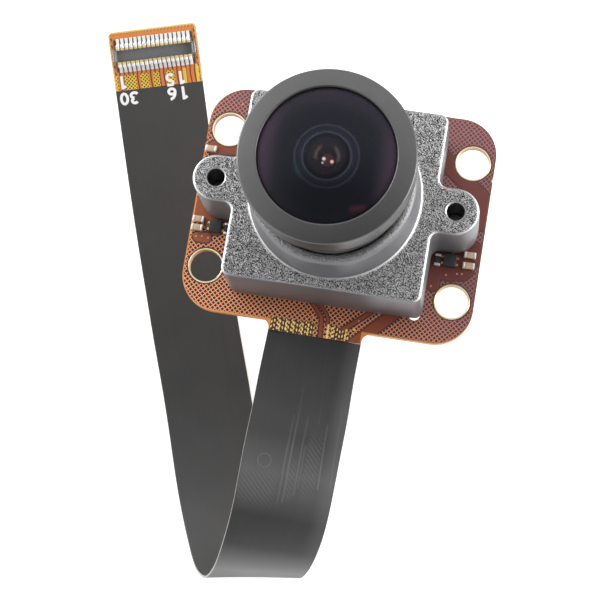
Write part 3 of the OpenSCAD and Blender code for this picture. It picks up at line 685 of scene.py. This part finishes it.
def stroke(*parts):
    """Middle line of a digit's stroke: straight parts are corners (x, y), and an arc is
    (x, y, half width, half height, first angle, last angle)."""
    line = []
    for part in parts:
        if len(part) == 2:
            line.append(part)
        else:
            x, y, wide, high, first, last = part
            line += [(x + wide * math.cos(a), y + high * math.sin(a))
                     for a in np.radians(np.linspace(first, last, 13))]
    return np.array(line, float)


DIGITS = {
    "0": [stroke((0.42, 0.6, 0.29, 0.47, 0, 360))],
    "1": [stroke((0.1, 0.92), (0.34, 1.07)), stroke((0.42, 1.2), (0.42, 0))],
    "3": [stroke((0.4, 0.86, 0.25, 0.21, 150, -80)), stroke((0.39, 0.37, 0.31, 0.24, 85, -155))],
    "5": [stroke((0.72, 1.07), (0.2, 1.07), (0.17, 0.7)),
          stroke((0.38, 0.41, 0.31, 0.28, 125, -150))],
    "6": [stroke((0.62, 0.42, 0.48, 0.65, 90, 178)), stroke((0.42, 0.38, 0.29, 0.25, 0, 360))]}


def ribbon(line, level):
    """Closed band round a middle line: half the pen's width to both sides, square to the line,
    between the film and the ink's face."""
    ahead = unit(np.gradient(line, axis=0))
    if np.allclose(line[0], line[-1]):
        ahead[0] = ahead[-1] = unit(line[1] - line[-2])
    square = np.stack([-ahead[:, 1], ahead[:, 0]], axis=-1)
    corners = ((-PEN / 2, 0), (PEN / 2, 0), (PEN / 2, INK), (-PEN / 2, INK))
    return np.stack([np.column_stack([line + square * off, np.full(len(line), level + h)])
                     for off, h in corners], axis=1)


ribbons = []
for digit, across, from_end in (("1", -3.3, 4.58), ("0", -3.29, 6.06), ("3", -2.38, 6.06),
                                ("5", 1.04, 4.82), ("1", 2.04, 4.75), ("6", 1.07, 6.12),
                                ("1", 2.1, 6.15)):
    for order, line in enumerate(DIGITS[digit]):
        band = ribbon(line - np.array(DIGIT_SIZE) / 2, 0.002 * order)
        middle, fold, up = tail_frame(tail_length - from_end - band[..., 1])
        ribbons.append(middle + (across - band[..., :1]) * fold - (FACE + band[..., 2:]) * up)
pin_numbers = surface("pin_numbers", ribbons, [white_ink], caps=(0, -1))

route[::4] * MM


# ---------------------------------------------------------------- circuit board
# The board is the same flexible circuit, 0.2 mm thick: copper hatch and a few solid runs under
# amber film, routed out with four mounting holes and two scars where break-off tabs held it.
def dress(name, finish):
    """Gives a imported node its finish."""
    materials = nodes[name].data.materials
    materials.clear()
    materials.append(finish.material)


BOARD_HALF = (12.5, 9.9)
BOARD_CORNER = 3.2
HOLES = (10.6, 6.1)    # the four mounting holes, to both sides of the middle
HOLE_R = 1.4
NECK_X = -0.4
BARE_RIM = 0.11        # width of film without copper along the board's edge

copper_flex = Finish("amber film over copper hatch", {"Coat Weight": 0.3, "Coat Roughness": 0.2})
x, y, z = copper_flex.axes()
corner_x = (abs(x) - (BOARD_HALF[0] - BOARD_CORNER)).most(0)
corner_y = (abs(y) - (BOARD_HALF[1] - BOARD_CORNER)).most(0)
inside = BOARD_CORNER - (corner_x * corner_x + corner_y * corner_y).root()
in_neck = (TAIL_WIDTH / 2 - abs(x - NECK_X)).least(-9.5 - y)
rim = inside.most(in_neck).under(BARE_RIM, 0.08)
hole_ring = ring_gap(abs(x), abs(y), HOLES).under(HOLE_R + 0.24, 0.05)

# hatch: two sets of lines at 45 degrees, with square openings between them
lines = ((x + y) * HATCH).wave().most(((x - y) * HATCH).wave())
hatch = lines.over(0.62, 0.16)

# solid copper runs, each a thick line through a few places, with a dark gap round it
runs = [(chain(x, y, *places), half_width, dark) for half_width, dark, places in (
    (0.62, 0.78, ((7.6, 6.7), (9.0, 5.3), (11.8, 3.2), (12.0, 1.0))),
    (0.95, 1.08, ((8.6, -2.2), (9.6, -3.3), (11.0, -3.2), (11.6, -1.6))),
    (0.5, 0.63, ((8.8, -4.9), (8.8, -3.8), (10.3, -3.8))),
    (0.42, 0.55, ((-11.7, -3.7), (-11.0, -3.7))),
    (0.45, 0.58, ((2.9, -11.0), (5.6, -8.2), (6.6, -7.2))),
    (0.15, 0.28, ((1.4, -10.3), (3.9, -8.1), (4.6, -7.4))),
    (0.12, 0.25, ((-1.2, -7.8), (-0.75, -8.25), (-0.05, -9.1), (0.1, -11))),
    (0.07, 0.2, ((-0.35, -8.0), (0.3, -8.7), (0.5, -9.2), (0.5, -9.6))),
    (0.9, 1.03, ((-12.2, -1.2), (-11.0, -1.0), (-10.3, -2.4))),
    (0.6, 0.73, ((-11.6, 4.3), (-9.0, 4.6))))]
solid = most_of(near.under(half_width, 0.06) for near, half_width, dark in runs)
etched = most_of(near.under(dark, 0.05) for near, half_width, dark in runs) * (1 - solid)

# gold shows through openings in the film over the traces that run down the neck
down_neck = stripe(y, -10.2, 0.58, 0.1)
tracks = (x * 4.1 + 0.2).wave().over(0.2, 0.6)
dashes = (y * 2.4 + (x * 1.65 + 0.1).wave() * 0.25).wave().over(-0.1, 0.5)
left_fan = stripe(x, -2.45, 1.95, 0.2) * down_neck
right_fan = stripe(x, 1.7, 0.85, 0.15) * down_neck * (y + x * 0.4).under(-9.1, 0.3)
fan = left_fan.most(right_fan)
beads = most_of(ring_gap(x, y, (bead_x, bead_y)).under(0.1, 0.06)
                for bead_x in (-3.55, -2.9, -2.35, -1.6, -1.05, 1.05, 2.2)
                for bead_y in (-9.85, -10.2, -10.55))
gold = (fan * tracks * dashes).most(beads * down_neck)
gold = gold.most(segment(x, y, (0.62, -9.65), (0.66, -10.75)).under(0.09, 0.05))
gold = gold.most(ring_gap(x, y, (2.85, -9.7)).under(0.1, 0.05))

vias = most_of(ring_gap(x, y, place).under(0.08, 0.05) for place in (
    (10.16, -1.88), (10.64, -1.63), (10.69, -3.64), (11.1, -3.58), (9.78, -3.87), (8.67, -5.0),
    (-11.9, -3.67), (-11.4, -3.6), (-10.84, -3.69), (-0.78, -9.2), (3.1, -8.9), (-9.9, 8.5)))

# painted light and shade: the copper goes from orange at the lower left to a darker purple at
# the upper right, as the light falls across the board
painted_light_tint = (x * 0.06 + y * 0.085 + 0.75).least(1).most(0)
side_wall = z.under(-0.004, 0.004)
copper, opening, flat_copper, bare_film = (copper_flex.mix(painted_light_tint, *codes) for codes in (
    ("#f8a272", "#9e6667"), ("#140300", "#543033"), ("#9a4f2e", "#723732"),
    ("#e09248", "#74402f")))
board_face = copper_flex.layers(
    opening, (hatch, copper), (solid, flat_copper), (etched.most(fan), "#56241a"),
    (rim, bare_film), (hole_ring, "#5c2a1e"), (vias, "#d89b7c"), (gold, "#ffdf84"),
    (side_wall, "#d9a04a"))
copper_flex.feed("Base Color", board_face)
metal = hatch.most(solid) * (1 - etched) * (1 - rim.most(hole_ring))
copper_flex.feed("Metallic", metal * 0.35)
copper_flex.feed("Roughness", 0.5 - gold * 0.2 - metal * 0.1)
copper_flex.relief((metal + gold) * 0.012 + copper_flex.noise(1.5, 2) * 0.01)
dress("circuit_board", copper_flex)
dress("board_stiffener", amber_laminate)


PLATED = 0.12          # width of the plated ring round a hole
plated_rim = Finish("bright gold plating", {"Metallic": 1.0, "Roughness": 0.3})
plated_rim.mottle(3, 2, "#e9d9a0", "#fff6d8")
turn = np.linspace(0, 2 * math.pi, 96, endpoint=False)


def carried_round(radius, height, turn):
    """Grid of a turned form: x is the radius times the cosine of the turn and y is the radius
    times its sine, at each height."""
    return np.stack(np.broadcast_arrays(radius * np.cos(turn), radius * np.sin(turn), height),
                    axis=-1)


lip = np.array([(HOLE_R, -0.19), (HOLE_R, 0.015), (HOLE_R + 0.02, 0.03),
                (HOLE_R + PLATED - 0.02, 0.03), (HOLE_R + PLATED, 0.01), (HOLE_R + PLATED, 0)])
one_rim = carried_round(lip[:, :1], lip[:, 1:], turn)
rings = [one_rim + [hole_x, hole_y, 0]
         for hole_x in (-HOLES[0], HOLES[0]) for hole_y in (-HOLES[1], HOLES[1])]
fit(surface("plated_rims", rings, [plated_rim]), "gold_plate", "hole_plating")


# ---------------------------------------------------------------- lens holder
# A grey aluminium die casting with a grainy skin: a square box with two screw ears, and a round
# collar that is bored and tapped for the lens.
EAR_X = 10             # a screw ear's middle
EAR_R = 1.95
EAR_HOLE_R = 0.75
FILLET = 0.7           # between an ear and the box
BOX_CORNER = 0.7
BOX_HALF = (8.3, 8.0)


def quarter_outline():
    """First quarter of the holder's outline, from the ear's tip to the middle of the top side:
    the ear's half circle, its side, the fillet, the box's side, its corner and half its top."""
    fillet_x, fillet_y = BOX_HALF[0] + FILLET, EAR_R + FILLET
    corner_x, corner_y = (side - BOX_CORNER for side in BOX_HALF)
    pieces = [[(EAR_X + EAR_R * math.cos(a), EAR_R * math.sin(a))
               for a in np.linspace(0, math.pi / 2, 19)],
              [(x, EAR_R) for x in np.linspace(EAR_X, fillet_x, 5)[1:]],
              [(fillet_x + FILLET * math.cos(a), fillet_y + FILLET * math.sin(a))
               for a in np.linspace(-math.pi / 2, -math.pi, 11)[1:]],
              [(BOX_HALF[0], y) for y in np.linspace(fillet_y, corner_y, 14)[1:]],
              [(corner_x + BOX_CORNER * math.cos(a), corner_y + BOX_CORNER * math.sin(a))
               for a in np.linspace(0, math.pi / 2, 11)[1:]],
              [(x, BOX_HALF[1]) for x in np.linspace(corner_x, 0, 22)[1:]]]
    return np.array([p for piece in pieces for p in piece])


quarter = quarter_outline()
upper = np.vstack([quarter, (quarter * [-1, 1])[-2::-1]])
outline = np.vstack([upper, (upper * [1, -1])[-2:0:-1]])
ahead = unit(np.roll(outline, -1, axis=0) - np.roll(outline, 1, axis=0))
inward = np.stack([-ahead[:, 1], ahead[:, 0]], axis=-1)
angle = np.arctan2(outline[:, 1], outline[:, 0])
spoke = np.stack([np.cos(angle), np.sin(angle)], axis=-1)


def inset(by):
    """The outline moved inwards along its own normals."""
    return outline + inward * by


def circle(radius):
    return spoke * radius


def rectangle(half_x, half_y):
    """Rectangle met along the same spokes: the nearer of its two walls on each."""
    reach = np.minimum(half_x / np.maximum(np.abs(spoke[:, 0]), 1e-9),
                       half_y / np.maximum(np.abs(spoke[:, 1]), 1e-9))
    return spoke * reach[:, None]


HOLDER_TOP = 7.1
RIM_TOP = 11.2
COLLAR_FOOT = 7.35     # radius where the collar's foot meets the top of the box
BORE = 6.0             # radius of the tapped bore
ease = 0.3
cast_rows = [(inset(0.1), 0), (inset(0), 0.1), (inset(0), 3), (inset(0), HOLDER_TOP - ease - 0.3)]
for turn in np.linspace(0, math.pi / 2, 7):
    cast_rows.append((inset(ease * (1 - math.cos(turn))),
                      HOLDER_TOP - ease * (1 - math.sin(turn))))
for share in (0.1, 0.3, 0.55, 0.8, 0.95, 1):
    cast_rows.append(((1 - share) * inset(ease) + share * circle(COLLAR_FOOT), HOLDER_TOP))
for turn in np.linspace(0, math.pi / 2, 7)[1:]:
    cast_rows.append((circle(COLLAR_FOOT - ease * math.sin(turn)),
                      HOLDER_TOP + ease * (1 - math.cos(turn))))
cast_rows += [(circle(r), z) for r, z in ((7.0, 8.2), (6.93, 9.2), (6.86, 10.2))]
for turn in np.linspace(0, math.pi / 2, 9):
    cast_rows.append((circle(6.3 + 0.54 * math.cos(turn)), RIM_TOP - 0.6 + 0.6 * math.sin(turn)))
cast_rows += [(circle(r), z) for r, z in ((6.08, RIM_TOP), (6.02, 11.17), (BORE, 11.1),
                                          (BORE, 7), (BORE, 4.1))]
cast_rows += [(rectangle(a, b), z) for a, b, z in ((3.6, 3.6, 4.1), (3.6, 3.6, 3.45),
                                                   (4.3, 4.3, 3.45), (4.3, 4.3, 3.1),
                                                   (6.3, 6.0, 3.1), (6.3, 6.0, 0))]
cast_grid = np.stack([np.column_stack([xy, np.full(len(xy), z)]) for xy, z in cast_rows])

cast_metal = Finish("grey die casting", {})
warp = cast_metal.node("ShaderNodeTexNoise", {}, {"Vector": cast_metal.place(), "Scale": 0.35,
                                                  "Detail": 1.0}, "Color")
flow = cast_metal.node("ShaderNodeVectorMath", {"operation": "MULTIPLY_ADD"},
                       {0: warp, 1: (2.4, 2.4, 1), 2: cast_metal.place()})
strands = cast_metal.node("ShaderNodeMapping", {"vector_type": "TEXTURE"},
                          {"Vector": flow, "Rotation": (0, 0, 0.8), "Scale": (1, 3.2, 1)})
coarse = cast_metal.noise(6.5, 1, 0.5, strands)
fine = cast_metal.noise(15, 2, 0.7)
blotch = cast_metal.noise(0.6, 3, 0.5)
facing = cast_metal.node("ShaderNodeNewGeometry", {}, {}, "Normal")
side_facing = abs(cast_metal.node("ShaderNodeSeparateXYZ", {}, {0: facing}, 0))
up_facing = cast_metal.node("ShaderNodeSeparateXYZ", {}, {0: facing}, 2)
above = cast_metal.axes()[2]
grainy = up_facing.over(0.75, 0.4)
speckle = coarse * 0.5 + fine * 0.5
on_collar = above.over(7.6, 0.6)
wrinkles = stripe(coarse, 0.5, 0.02, 0.09)
peaks = (wrinkles - 0.35) * 0.75 + (fine - 0.5) * 6.5
peaks = (peaks * (1 - on_collar * 0.5) * (grainy * 0.8 + 0.2) + 0.5).most(0).least(1)
skin = cast_metal.mix(peaks, "#1e1e1e", "#d2d2d2")
# the side walls are smoother than the grainy tops, and their darker grey is painted shade
wall = cast_metal.mix(on_collar, "#64656a", "#6c6c70")
wall = cast_metal.mix(blotch * 0.25 + peaks * 0.3, wall, "#9c9c9e")
skin = cast_metal.mix(grainy, wall, skin)
skin = cast_metal.mix(above.over(10.7, 0.4) * 0.45, skin, "#666668")
# painted highlight: a near-white line along the eased edges, strongest where they face the lamps to
# the sides
painted_edge_highlight = stripe(up_facing, 0.66, 0.22, 0.25) * (side_facing * 1.3 + 0.05).least(1)
painted_edge_highlight = painted_edge_highlight * (1 - above.over(9, 1)) * (speckle * 0.8 + 0.4)
cast_metal.feed("Base Color", cast_metal.mix(painted_edge_highlight, skin, "#f6f6f6"))
cast_metal.feed("Metallic", 0.6 + grainy * 0.4)
cast_metal.feed("Roughness", 0.34 + blotch * 0.1)
cast_metal.relief(speckle * (grainy * 0.06 + 0.02))


def turned(name, profile, finishes, sides=128, sharp=35):
    """A turned piece: the profile of (radius, height) carried round the optical axis. A profile
    that starts and ends on the axis is a solid, and any other is a ring closed on itself."""
    profile = np.array(profile, float)
    turn = np.linspace(0, 2 * math.pi, sides, endpoint=False)
    grid = carried_round(profile[:, :1], profile[:, 1:], turn)
    ring = profile[0, 0] > 0
    return surface(name, [grid], finishes, wrap=(ring, True), sharp=sharp)


def bore(x, radius, top):
    """Cutter for a screw hole whose mouth is chamfered at the top."""
    made = turned("bore", [(0, -0.5), (radius, -0.5), (radius, top - 0.12),
                           (radius + 0.12, top), (radius + 0.12, top + 0.5), (0, top + 0.5)],
                  [cast_metal], 48)
    made.data.transform(Matrix.Translation((x * MM, 0, 0)))
    return made


holder = surface("cast_holder", [cast_grid], [cast_metal], wrap=(True, True))
for x in (-EAR_X, EAR_X):
    cutter = bore(x, EAR_HOLE_R, HOLDER_TOP)
    drill = holder.modifiers.new("drill", "BOOLEAN")
    drill.operation, drill.solver, drill.object = "DIFFERENCE", "EXACT", cutter
    bpy.context.view_layer.update()
    cut = bpy.data.meshes.new_from_object(
        holder.evaluated_get(bpy.context.evaluated_depsgraph_get()))
    holder.modifiers.clear()
    holder.data = cut
    bpy.data.objects.remove(cutter)
holder.data.name = "cast_holder"
holder.data.materials.clear()
holder.data.materials.append(cast_metal.material)
fit(holder, "cast_metal", "lens_holder")


# ---------------------------------------------------------------- lens barrel
# The barrel is turned in aluminium and anodised black. It is screwed into the collar by a fine
# thread until the picture is sharp, and its flange carries the front ring.
LENS_Z = 16.12         # underside of the flange
THREAD_R = 5.95
THREAD_PITCH = 0.5
THREAD_DEPTH = 0.28
barrel_profile = [(3.65, -10.97), (5.65, -10.97)]
thread_rows = np.linspace(-10.67, -0.85, 160)
barrel_profile += [(THREAD_R, h) for h in thread_rows]
barrel_profile += [(5.6, -0.5), (5.6, 0), (6.8, 0), (6.88, 0.08), (6.88, 0.72), (6.8, 0.8),
                   (6.35, 0.8), (6.35, 2.6), (5.9, 2.6), (5.9, 0.4), (4.35, 0.4), (4.35, -4.97),
                   (2.25, -4.97), (2.25, -5.47), (3.65, -5.47)]
barrel_profile = np.array(barrel_profile)
turn = np.linspace(0, 2 * math.pi, 144, endpoint=False)
radius, level = barrel_profile[:, :1], barrel_profile[:, 1:]
flank = np.abs(((level / THREAD_PITCH - turn / (2 * math.pi)) % 1) - 0.5) * 2
fade = np.clip((level + 10.97) / 0.6, 0, 1) * np.clip((-0.6 - level) / 0.4, 0, 1)
radius = radius - THREAD_DEPTH * flank * fade * (radius > THREAD_R - 0.01)
barrel_grid = carried_round(radius, level + LENS_Z, turn)
anodised = Finish("black anodised aluminium", {"Metallic": 0.6})
wear = anodised.mottle(2, 4, "#2c2d2e", "#4b4c4d", 0.6)
anodised.feed("Roughness", 0.3 + wear * 0.12)
anodised.relief((anodised.axes()[2] * 12).wave() * 0.0015 + wear * 0.003)
fit(surface("threaded_barrel", [barrel_grid], [anodised], wrap=(True, True)), "black_anodised",
    "lens_barrel")


# ---------------------------------------------------------------- front ring
# A turned ring pressed over the barrel's nose. It holds the first glass in its seat with a thin
# lip, and its face is a shallow cone, blasted and anodised matt black.
def eased(profile, radius, steps=4):
    """Rounds every corner of a closed profile: each corner becomes the quadratic curve between
    the points at the radius before and after it."""
    p = np.array(profile, float)
    before, after = np.roll(p, 1, axis=0) - p, np.roll(p, -1, axis=0) - p
    reach = np.minimum(radius, 0.45 * np.minimum(np.linalg.norm(before, axis=1),
                                                 np.linalg.norm(after, axis=1)))[:, None]
    start, stop = p + unit(before) * reach, p + unit(after) * reach
    t = np.linspace(0, 1, steps + 1)[None, :, None]
    return (start[:, None] * (1 - t) ** 2 + 2 * p[:, None] * t * (1 - t)
            + stop[:, None] * t ** 2).reshape(-1, 2)


ring_profile = eased([(6.4, 0.8), (6.95, 0.8), (6.95, 2.72), (6.86, 2.81), (5.5, 3.1),
                      (5.4, 3.02), (5.4, 2.65), (6.4, 2.65)], 0.07) + [0, LENS_Z]
matt_anodised = Finish("matt black anodised", {"Metallic": 0.9})
dust = matt_anodised.noise(16, 2, 0.6)
clouds = matt_anodised.noise(0.5, 3)
matt_anodised.feed("Base Color", matt_anodised.mix(dust * 0.7 + clouds * 0.3, "#4f4f4f", "#6c6c6c"))
matt_anodised.feed("Roughness", 0.34 + dust * 0.1)
matt_anodised.relief(dust * 0.004)
fit(turned("head_ring", ring_profile, [matt_anodised], 192), "black_anodised_matte", "front_ring")


# ---------------------------------------------------------------- glasses
# Polished glasses with anti-reflection films: a deep meniscus first, then two before the
# aperture, and a cemented pair and one more behind it. What shows in the first glass, its rings,
# pupil, glints, purple sides and coloured arcs, is mostly painted reflection laid as colour on
# it, over clear glass.
def sag(ball, clear, r):
    """Height of a ball's surface over its clear edge: the root of ball^2 - r^2, less the root of
    ball^2 - clear^2."""
    return np.sqrt(ball ** 2 - r ** 2) - math.sqrt(ball ** 2 - clear ** 2)


def glass_profile(diameter, edge, front, rear, low, proud):
    """Half section of a glass from its front pole round the edge to its rear pole. A positive
    ball bulges, a negative one is hollow, and a proud front stands out of the seat."""
    def face(ball, clear):
        r = np.linspace(0, clear, 25)
        return r, sag(abs(ball), clear, r) * (1 if ball > 0 else -1)
    r_front, h_front = face(*front)
    r_rear, h_rear = face(*rear)
    body = [(r_front[-1], edge), (diameter / 2, edge), (diameter / 2, 0)]
    return np.vstack([np.column_stack([r_front, edge + proud + h_front]), body,
                      np.column_stack([r_rear, -h_rear])[::-1]]) + [0, low]


def optical_glass(name, tone, film):
    """Clear glass with one interference film of the given thickness in nanometres."""
    made = Finish(name, {"Transmission Weight": 1.0, "Roughness": 0.0, "IOR": 1.55,
                         "Thin Film Thickness": film, "Thin Film IOR": 1.33})
    made.mottle(0.15, 1, tone, "#ffffff")
    return made


front_glass = optical_glass("first glass", "#8a8c98", 112.0)
x, y = front_glass.axes()[:2]
painted_layer = front_glass.tree.nodes.new("ShaderNodeBsdfPrincipled")
painted_layer.inputs["Roughness"].default_value = 0.06
painted_layer.inputs["Specular IOR Level"].default_value = 0.1
dx, dy = x - 0.1, y + 0.3
reach = (dx * dx + dy * dy).root()
# painted reflections: rings, a darker bottom, purple sides, a brown tube, a green arc, a pupil and
# glints are laid into the first glass's colour
painted_rings = front_glass.node("ShaderNodeValToRGB", {"stops": [
    (0.0, "#30292e"), (0.1, "#231f22"), (0.14, "#272326"), (0.25, "#242328"),
    (0.3, "#16161c"), (0.325, "#17181e"), (0.345, "#3c3e4a"), (0.37, "#24262e"),
    (0.43, "#1d2027"), (0.455, "#343741"), (0.48, "#1c1e24"), (0.75, "#1d1f24"),
    (0.98, "#292730")]}, {0: reach / 5.4})
sides = abs(dx).over(4.4, 2.0) * dy.over(-3.6, 2)
painted_tube_reflection = stripe(ring_gap(dx, dy, (0.05, -0.05)), 0.88, 0.1, 0.3)
painted_tube_reflection = painted_tube_reflection * abs(dx).over(0.5, 0.3) * dy.over(-0.35, 0.4)
painted_green_reflection = stripe(reach, 2.5, 0.12, 0.5) * ring_gap(dx, dy, (-2.1, -1.5)).under(0.5, 0.8) * 0.6
painted_far_glint = segment(dx, dy, (2.5, -3.65), (3.3, -3.4)).under(0.2, 0.4) * 0.5
pupil_gap = ring_gap(dx, dy, (0.14, -0.35))
painted_glints = [(ring_gap(dx, dy, place).under(size, 0.1), code) for place, size, code in (
    ((0.2, -0.26), 0.16, "#5f2028"), ((-0.16, -0.28), 0.13, "#d6cfca"),
    ((-0.22, -0.6), 0.08, "#b9b4b0"), ((0.48, -0.42), 0.13, "#efb0b0"))]
painted_reflections = front_glass.layers(
    painted_rings, (dy.under(-1.8, 2.6) * 0.7, "#18191d"), (sides, "#3f313f"),
    (dy.over(4.4, 2.2) * 0.8, "#2b2731"), (painted_tube_reflection, "#544b48"), (painted_green_reflection, "#274139"),
    (painted_far_glint, "#502730"), (stripe(pupil_gap, 0.58, 0.04, 0.14) * 0.7, "#141214"),
    (pupil_gap.under(0.5, 0.2) * 0.8, "#3e3131"), *painted_glints)
front_glass.tree.links.new(painted_reflections.output, painted_layer.inputs["Base Color"])
blend = front_glass.node("ShaderNodeMixShader", {}, {
    0: 0.72 + reach * 0.02, 1: Socket(front_glass, front_glass.shader.outputs[0]),
    2: Socket(front_glass, painted_layer.outputs[0])})
glass_output = front_glass.tree.nodes["Material Output"]
front_glass.tree.links.new(blend.output, glass_output.inputs["Surface"])
inner_glass = optical_glass("inner glass", "#9a9cab", 105.0)
for name, node, finish, diameter, edge, front, rear, low, proud in (
        ("dome_glass", "front_element", front_glass, 11.7, 1.95, (13.5, 5.38), (-4.6, 4.1),
         0.7, 0.2),
        ("second_glass", "second_element", inner_glass, 8.6, 1.8, (14, 3.8), (-3.1, 2.7), -1.52, 0),
        ("third_glass", "third_element", inner_glass, 8.6, 1.5, (-9, 2.6), (5, 2.3), -4.22, 0),
        ("crown_glass", "doublet_crown", inner_glass, 7.2, 0.7, (5.5, 2), (4.2, 2.6), -6.17, 0),
        ("last_glass", "rear_element", inner_glass, 7.2, 1.3, (6, 2.4), (8, 2.5), -9.77, 0)):
    profile = glass_profile(diameter, edge, front, rear, LENS_Z + low, proud)
    fit(turned(name, profile, [finish], 160), "coated_glass", node)
dress("doublet_flint", inner_glass)


# ---------------------------------------------------------------- rings inside the barrel
# Blackened rings space the glasses, a thin cup holds the aperture, and a rubber seal keeps water
# out under the first glass. Real ones have fine grooves that swallow stray light; these are
# turned plain.
inner_black = Finish("blackened ring", {"Metallic": 0.3, "Roughness": 0.55})
tone = inner_black.mottle(3, 2, "#161617", "#262628")
inner_black.relief(tone * 0.004)


def ring_profile_of(outer, inner, low, high):
    return eased([(outer, low), (outer, high), (inner, high), (inner, low)], 0.04) + [0, LENS_Z]


for name, node, outer, inner, low, high in (
        ("spacer", "spacer_ring", 4.3, 2.9, -2.72, -1.52),
        ("doublet_spacer", "rear_spacer", 3.6, 2.7, -8.47, -8.07),
        ("retaining_ring", "rear_retainer", 3.6, 2.7, -10.87, -9.77)):
    fit(turned(name, ring_profile_of(outer, inner, low, high), [inner_black]),
        "black_anodised", node)
stop_profile = eased([(4.3, -4.97), (4.3, -4.22), (2.8, -4.22), (2.8, -4.85), (0.9, -4.85),
                      (0.9, -4.97)], 0.03) + [0, LENS_Z]
fit(turned("aperture_cup", stop_profile, [inner_black]), "black_anodised", "aperture_stop")
rubber = Finish("black rubber", {"Roughness": 0.75})
rubber.mottle(6, 2, "#141414", "#222222")
fit(turned("seal_ring", ring_profile_of(5.85, 4.47, 0.4, 0.7), [rubber]),
    "black_rubber", "front_seal")


# ---------------------------------------------------------------- filter and image sensor
# Behind the lens a square infrared filter lies in its recess, over the sensor: a silicon die in
# a ceramic carrier, framed and covered with glass, on a ring of solder balls.
filter_glass = Finish("infrared filter glass", {"Transmission Weight": 0.9, "Roughness": 0.02,
                                                "IOR": 1.5})
filter_glass.mottle(0.3, 1, "#9fd0dd", "#c4e4ea")
dress("infrared_filter", filter_glass)
dress("sensor_cover_glass", filter_glass)
black_plastic = Finish("black moulding compound", {"Roughness": 0.5})
speck = black_plastic.mottle(14, 3, "#1c1d1f", "#3a3b3d", 0.6)
black_plastic.relief(speck * 0.008)
for name in ("sensor_carrier", "sensor_frame"):
    dress(name, black_plastic)
silicon = Finish("silicon", {"Metallic": 0.8, "Roughness": 0.2})
x, y = silicon.axes()[:2]
cells = ((x * 8).wave() + (y * 8).wave()) * 0.25 + 0.5
silicon.feed("Base Color", silicon.mix(cells, "#2c2744", "#54466e"))
dress("sensor_die", silicon)
dress("sensor_solder", bright_solder)


# ---------------------------------------------------------------- screws
# Two small steel screws come through the board from behind into the ears. Their heads are cold
# formed, with a cross cut, and plated bright.
steel = Finish("plated screw steel", {"Metallic": 1.0})
ripple = steel.mottle(4, 3, "#8e9092", "#c2c4c6", 0.6)
steel.feed("Roughness", 0.24 + ripple * 0.15)
steel.relief(ripple * 0.004)
dress("holder_screws", steel)


# ---------------------------------------------------------------- small parts on the board
# Five ceramic capacitors and two resistors with tinned ends, two driver chips with tiny leads,
# and a memory chip, all reflow soldered beside the ears.
ceramic = Finish("tan ceramic", {"Roughness": 0.55})
ceramic.mottle(8, 3, "#b5987a", "#dcc3a4")
ceramic.relief(ceramic.noise(20, 2) * 0.003)
tinned = Finish("tinned end", {"Metallic": 0.6, "Roughness": 0.35})
tinned.mottle(7, 3, "#d6d4ce", "#fbfaf6")
tinned.relief(tinned.noise(9, 3) * 0.012)
CHIP = (1.0, 0.52)     # length and width of a resistor or capacitor
END = 0.22             # length of its tinned ends
capacitor_places = [(11.55, -1.95, 0), (11.55, -2.87, 0), (-11.88, -2.21, 0), (-11.88, -2.95, 0),
                    (-11.88, 4.1, 0)]
resistor_places = [(8.9, -2.7, 90), (-9.3, -2.7, 90)]


def turned_about(grid, place):
    """Turns a grid about its own middle and moves it to its place on the board."""
    a = math.radians(place[2])
    turn = np.array([[math.cos(a), math.sin(a), 0], [-math.sin(a), math.cos(a), 0], [0, 0, 1]])
    return grid @ turn + [place[0], place[1], 0]


bodies = {"ceramic_blocks": [], "resistor_blocks": []}
ends = []
for group, places, tall in (("ceramic_blocks", capacitor_places, 0.5),
                            ("resistor_blocks", resistor_places, 0.35)):
    for place in places:
        block = loops(moulded(CHIP[0] / 2 - END + 0.01, CHIP[1] / 2 - 0.015, 0.02,
                              tall - 0.015, 0.02))
        bodies[group].append(turned_about(block, place))
        for side in (-1, 1):
            cap = [(END / 2, CHIP[1] / 2, 0.04, z) for z in (0.0, tall * 0.4)]
            cap += [(END / 2 - i, CHIP[1] / 2 - i, 0.04, tall - 0.05 + u)
                    for i, u in ((0.0, 0.0), (0.015, 0.035), (0.05, 0.05))]
            ends.append(turned_about(loops(cap) + [side * (CHIP[0] - END) / 2, 0, 0], place))
fit(surface("ceramic_blocks", bodies["ceramic_blocks"], [ceramic], caps=(0, -1)),
    "tan_ceramic", "capacitors")
fit(surface("resistor_blocks", bodies["resistor_blocks"], [black_plastic], caps=(0, -1)),
    "black_plastic", "resistors")
fit(surface("tinned_ends", ends, [tinned], caps=(0, -1)), "solder", "chip_terminals")
chips = [loops(moulded(0.55, 0.55, 0.0, 0.45, 0.03, 0.02)) + [px, py, 0]
         for px, py in ((9.935, -2.62), (-10.335, -2.62))]
fit(surface("driver_bodies", chips, [black_plastic], caps=(0, -1)), "black_plastic",
    "driver_chips")
dress("driver_leads", gilt)
memory_low, memory_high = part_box("memory_chip")
middle = (memory_low + memory_high) / 2 / MM
half_size = (memory_high - memory_low) / 2 / MM
memory_rows = moulded(half_size.x, half_size.y, 0.0, half_size.z * 2, 0.03, 0.02)
fit(surface("memory_body", [loops(memory_rows) + [middle.x, middle.y, 0]], [black_plastic],
            caps=(0, -1)), "black_plastic", "memory_chip")
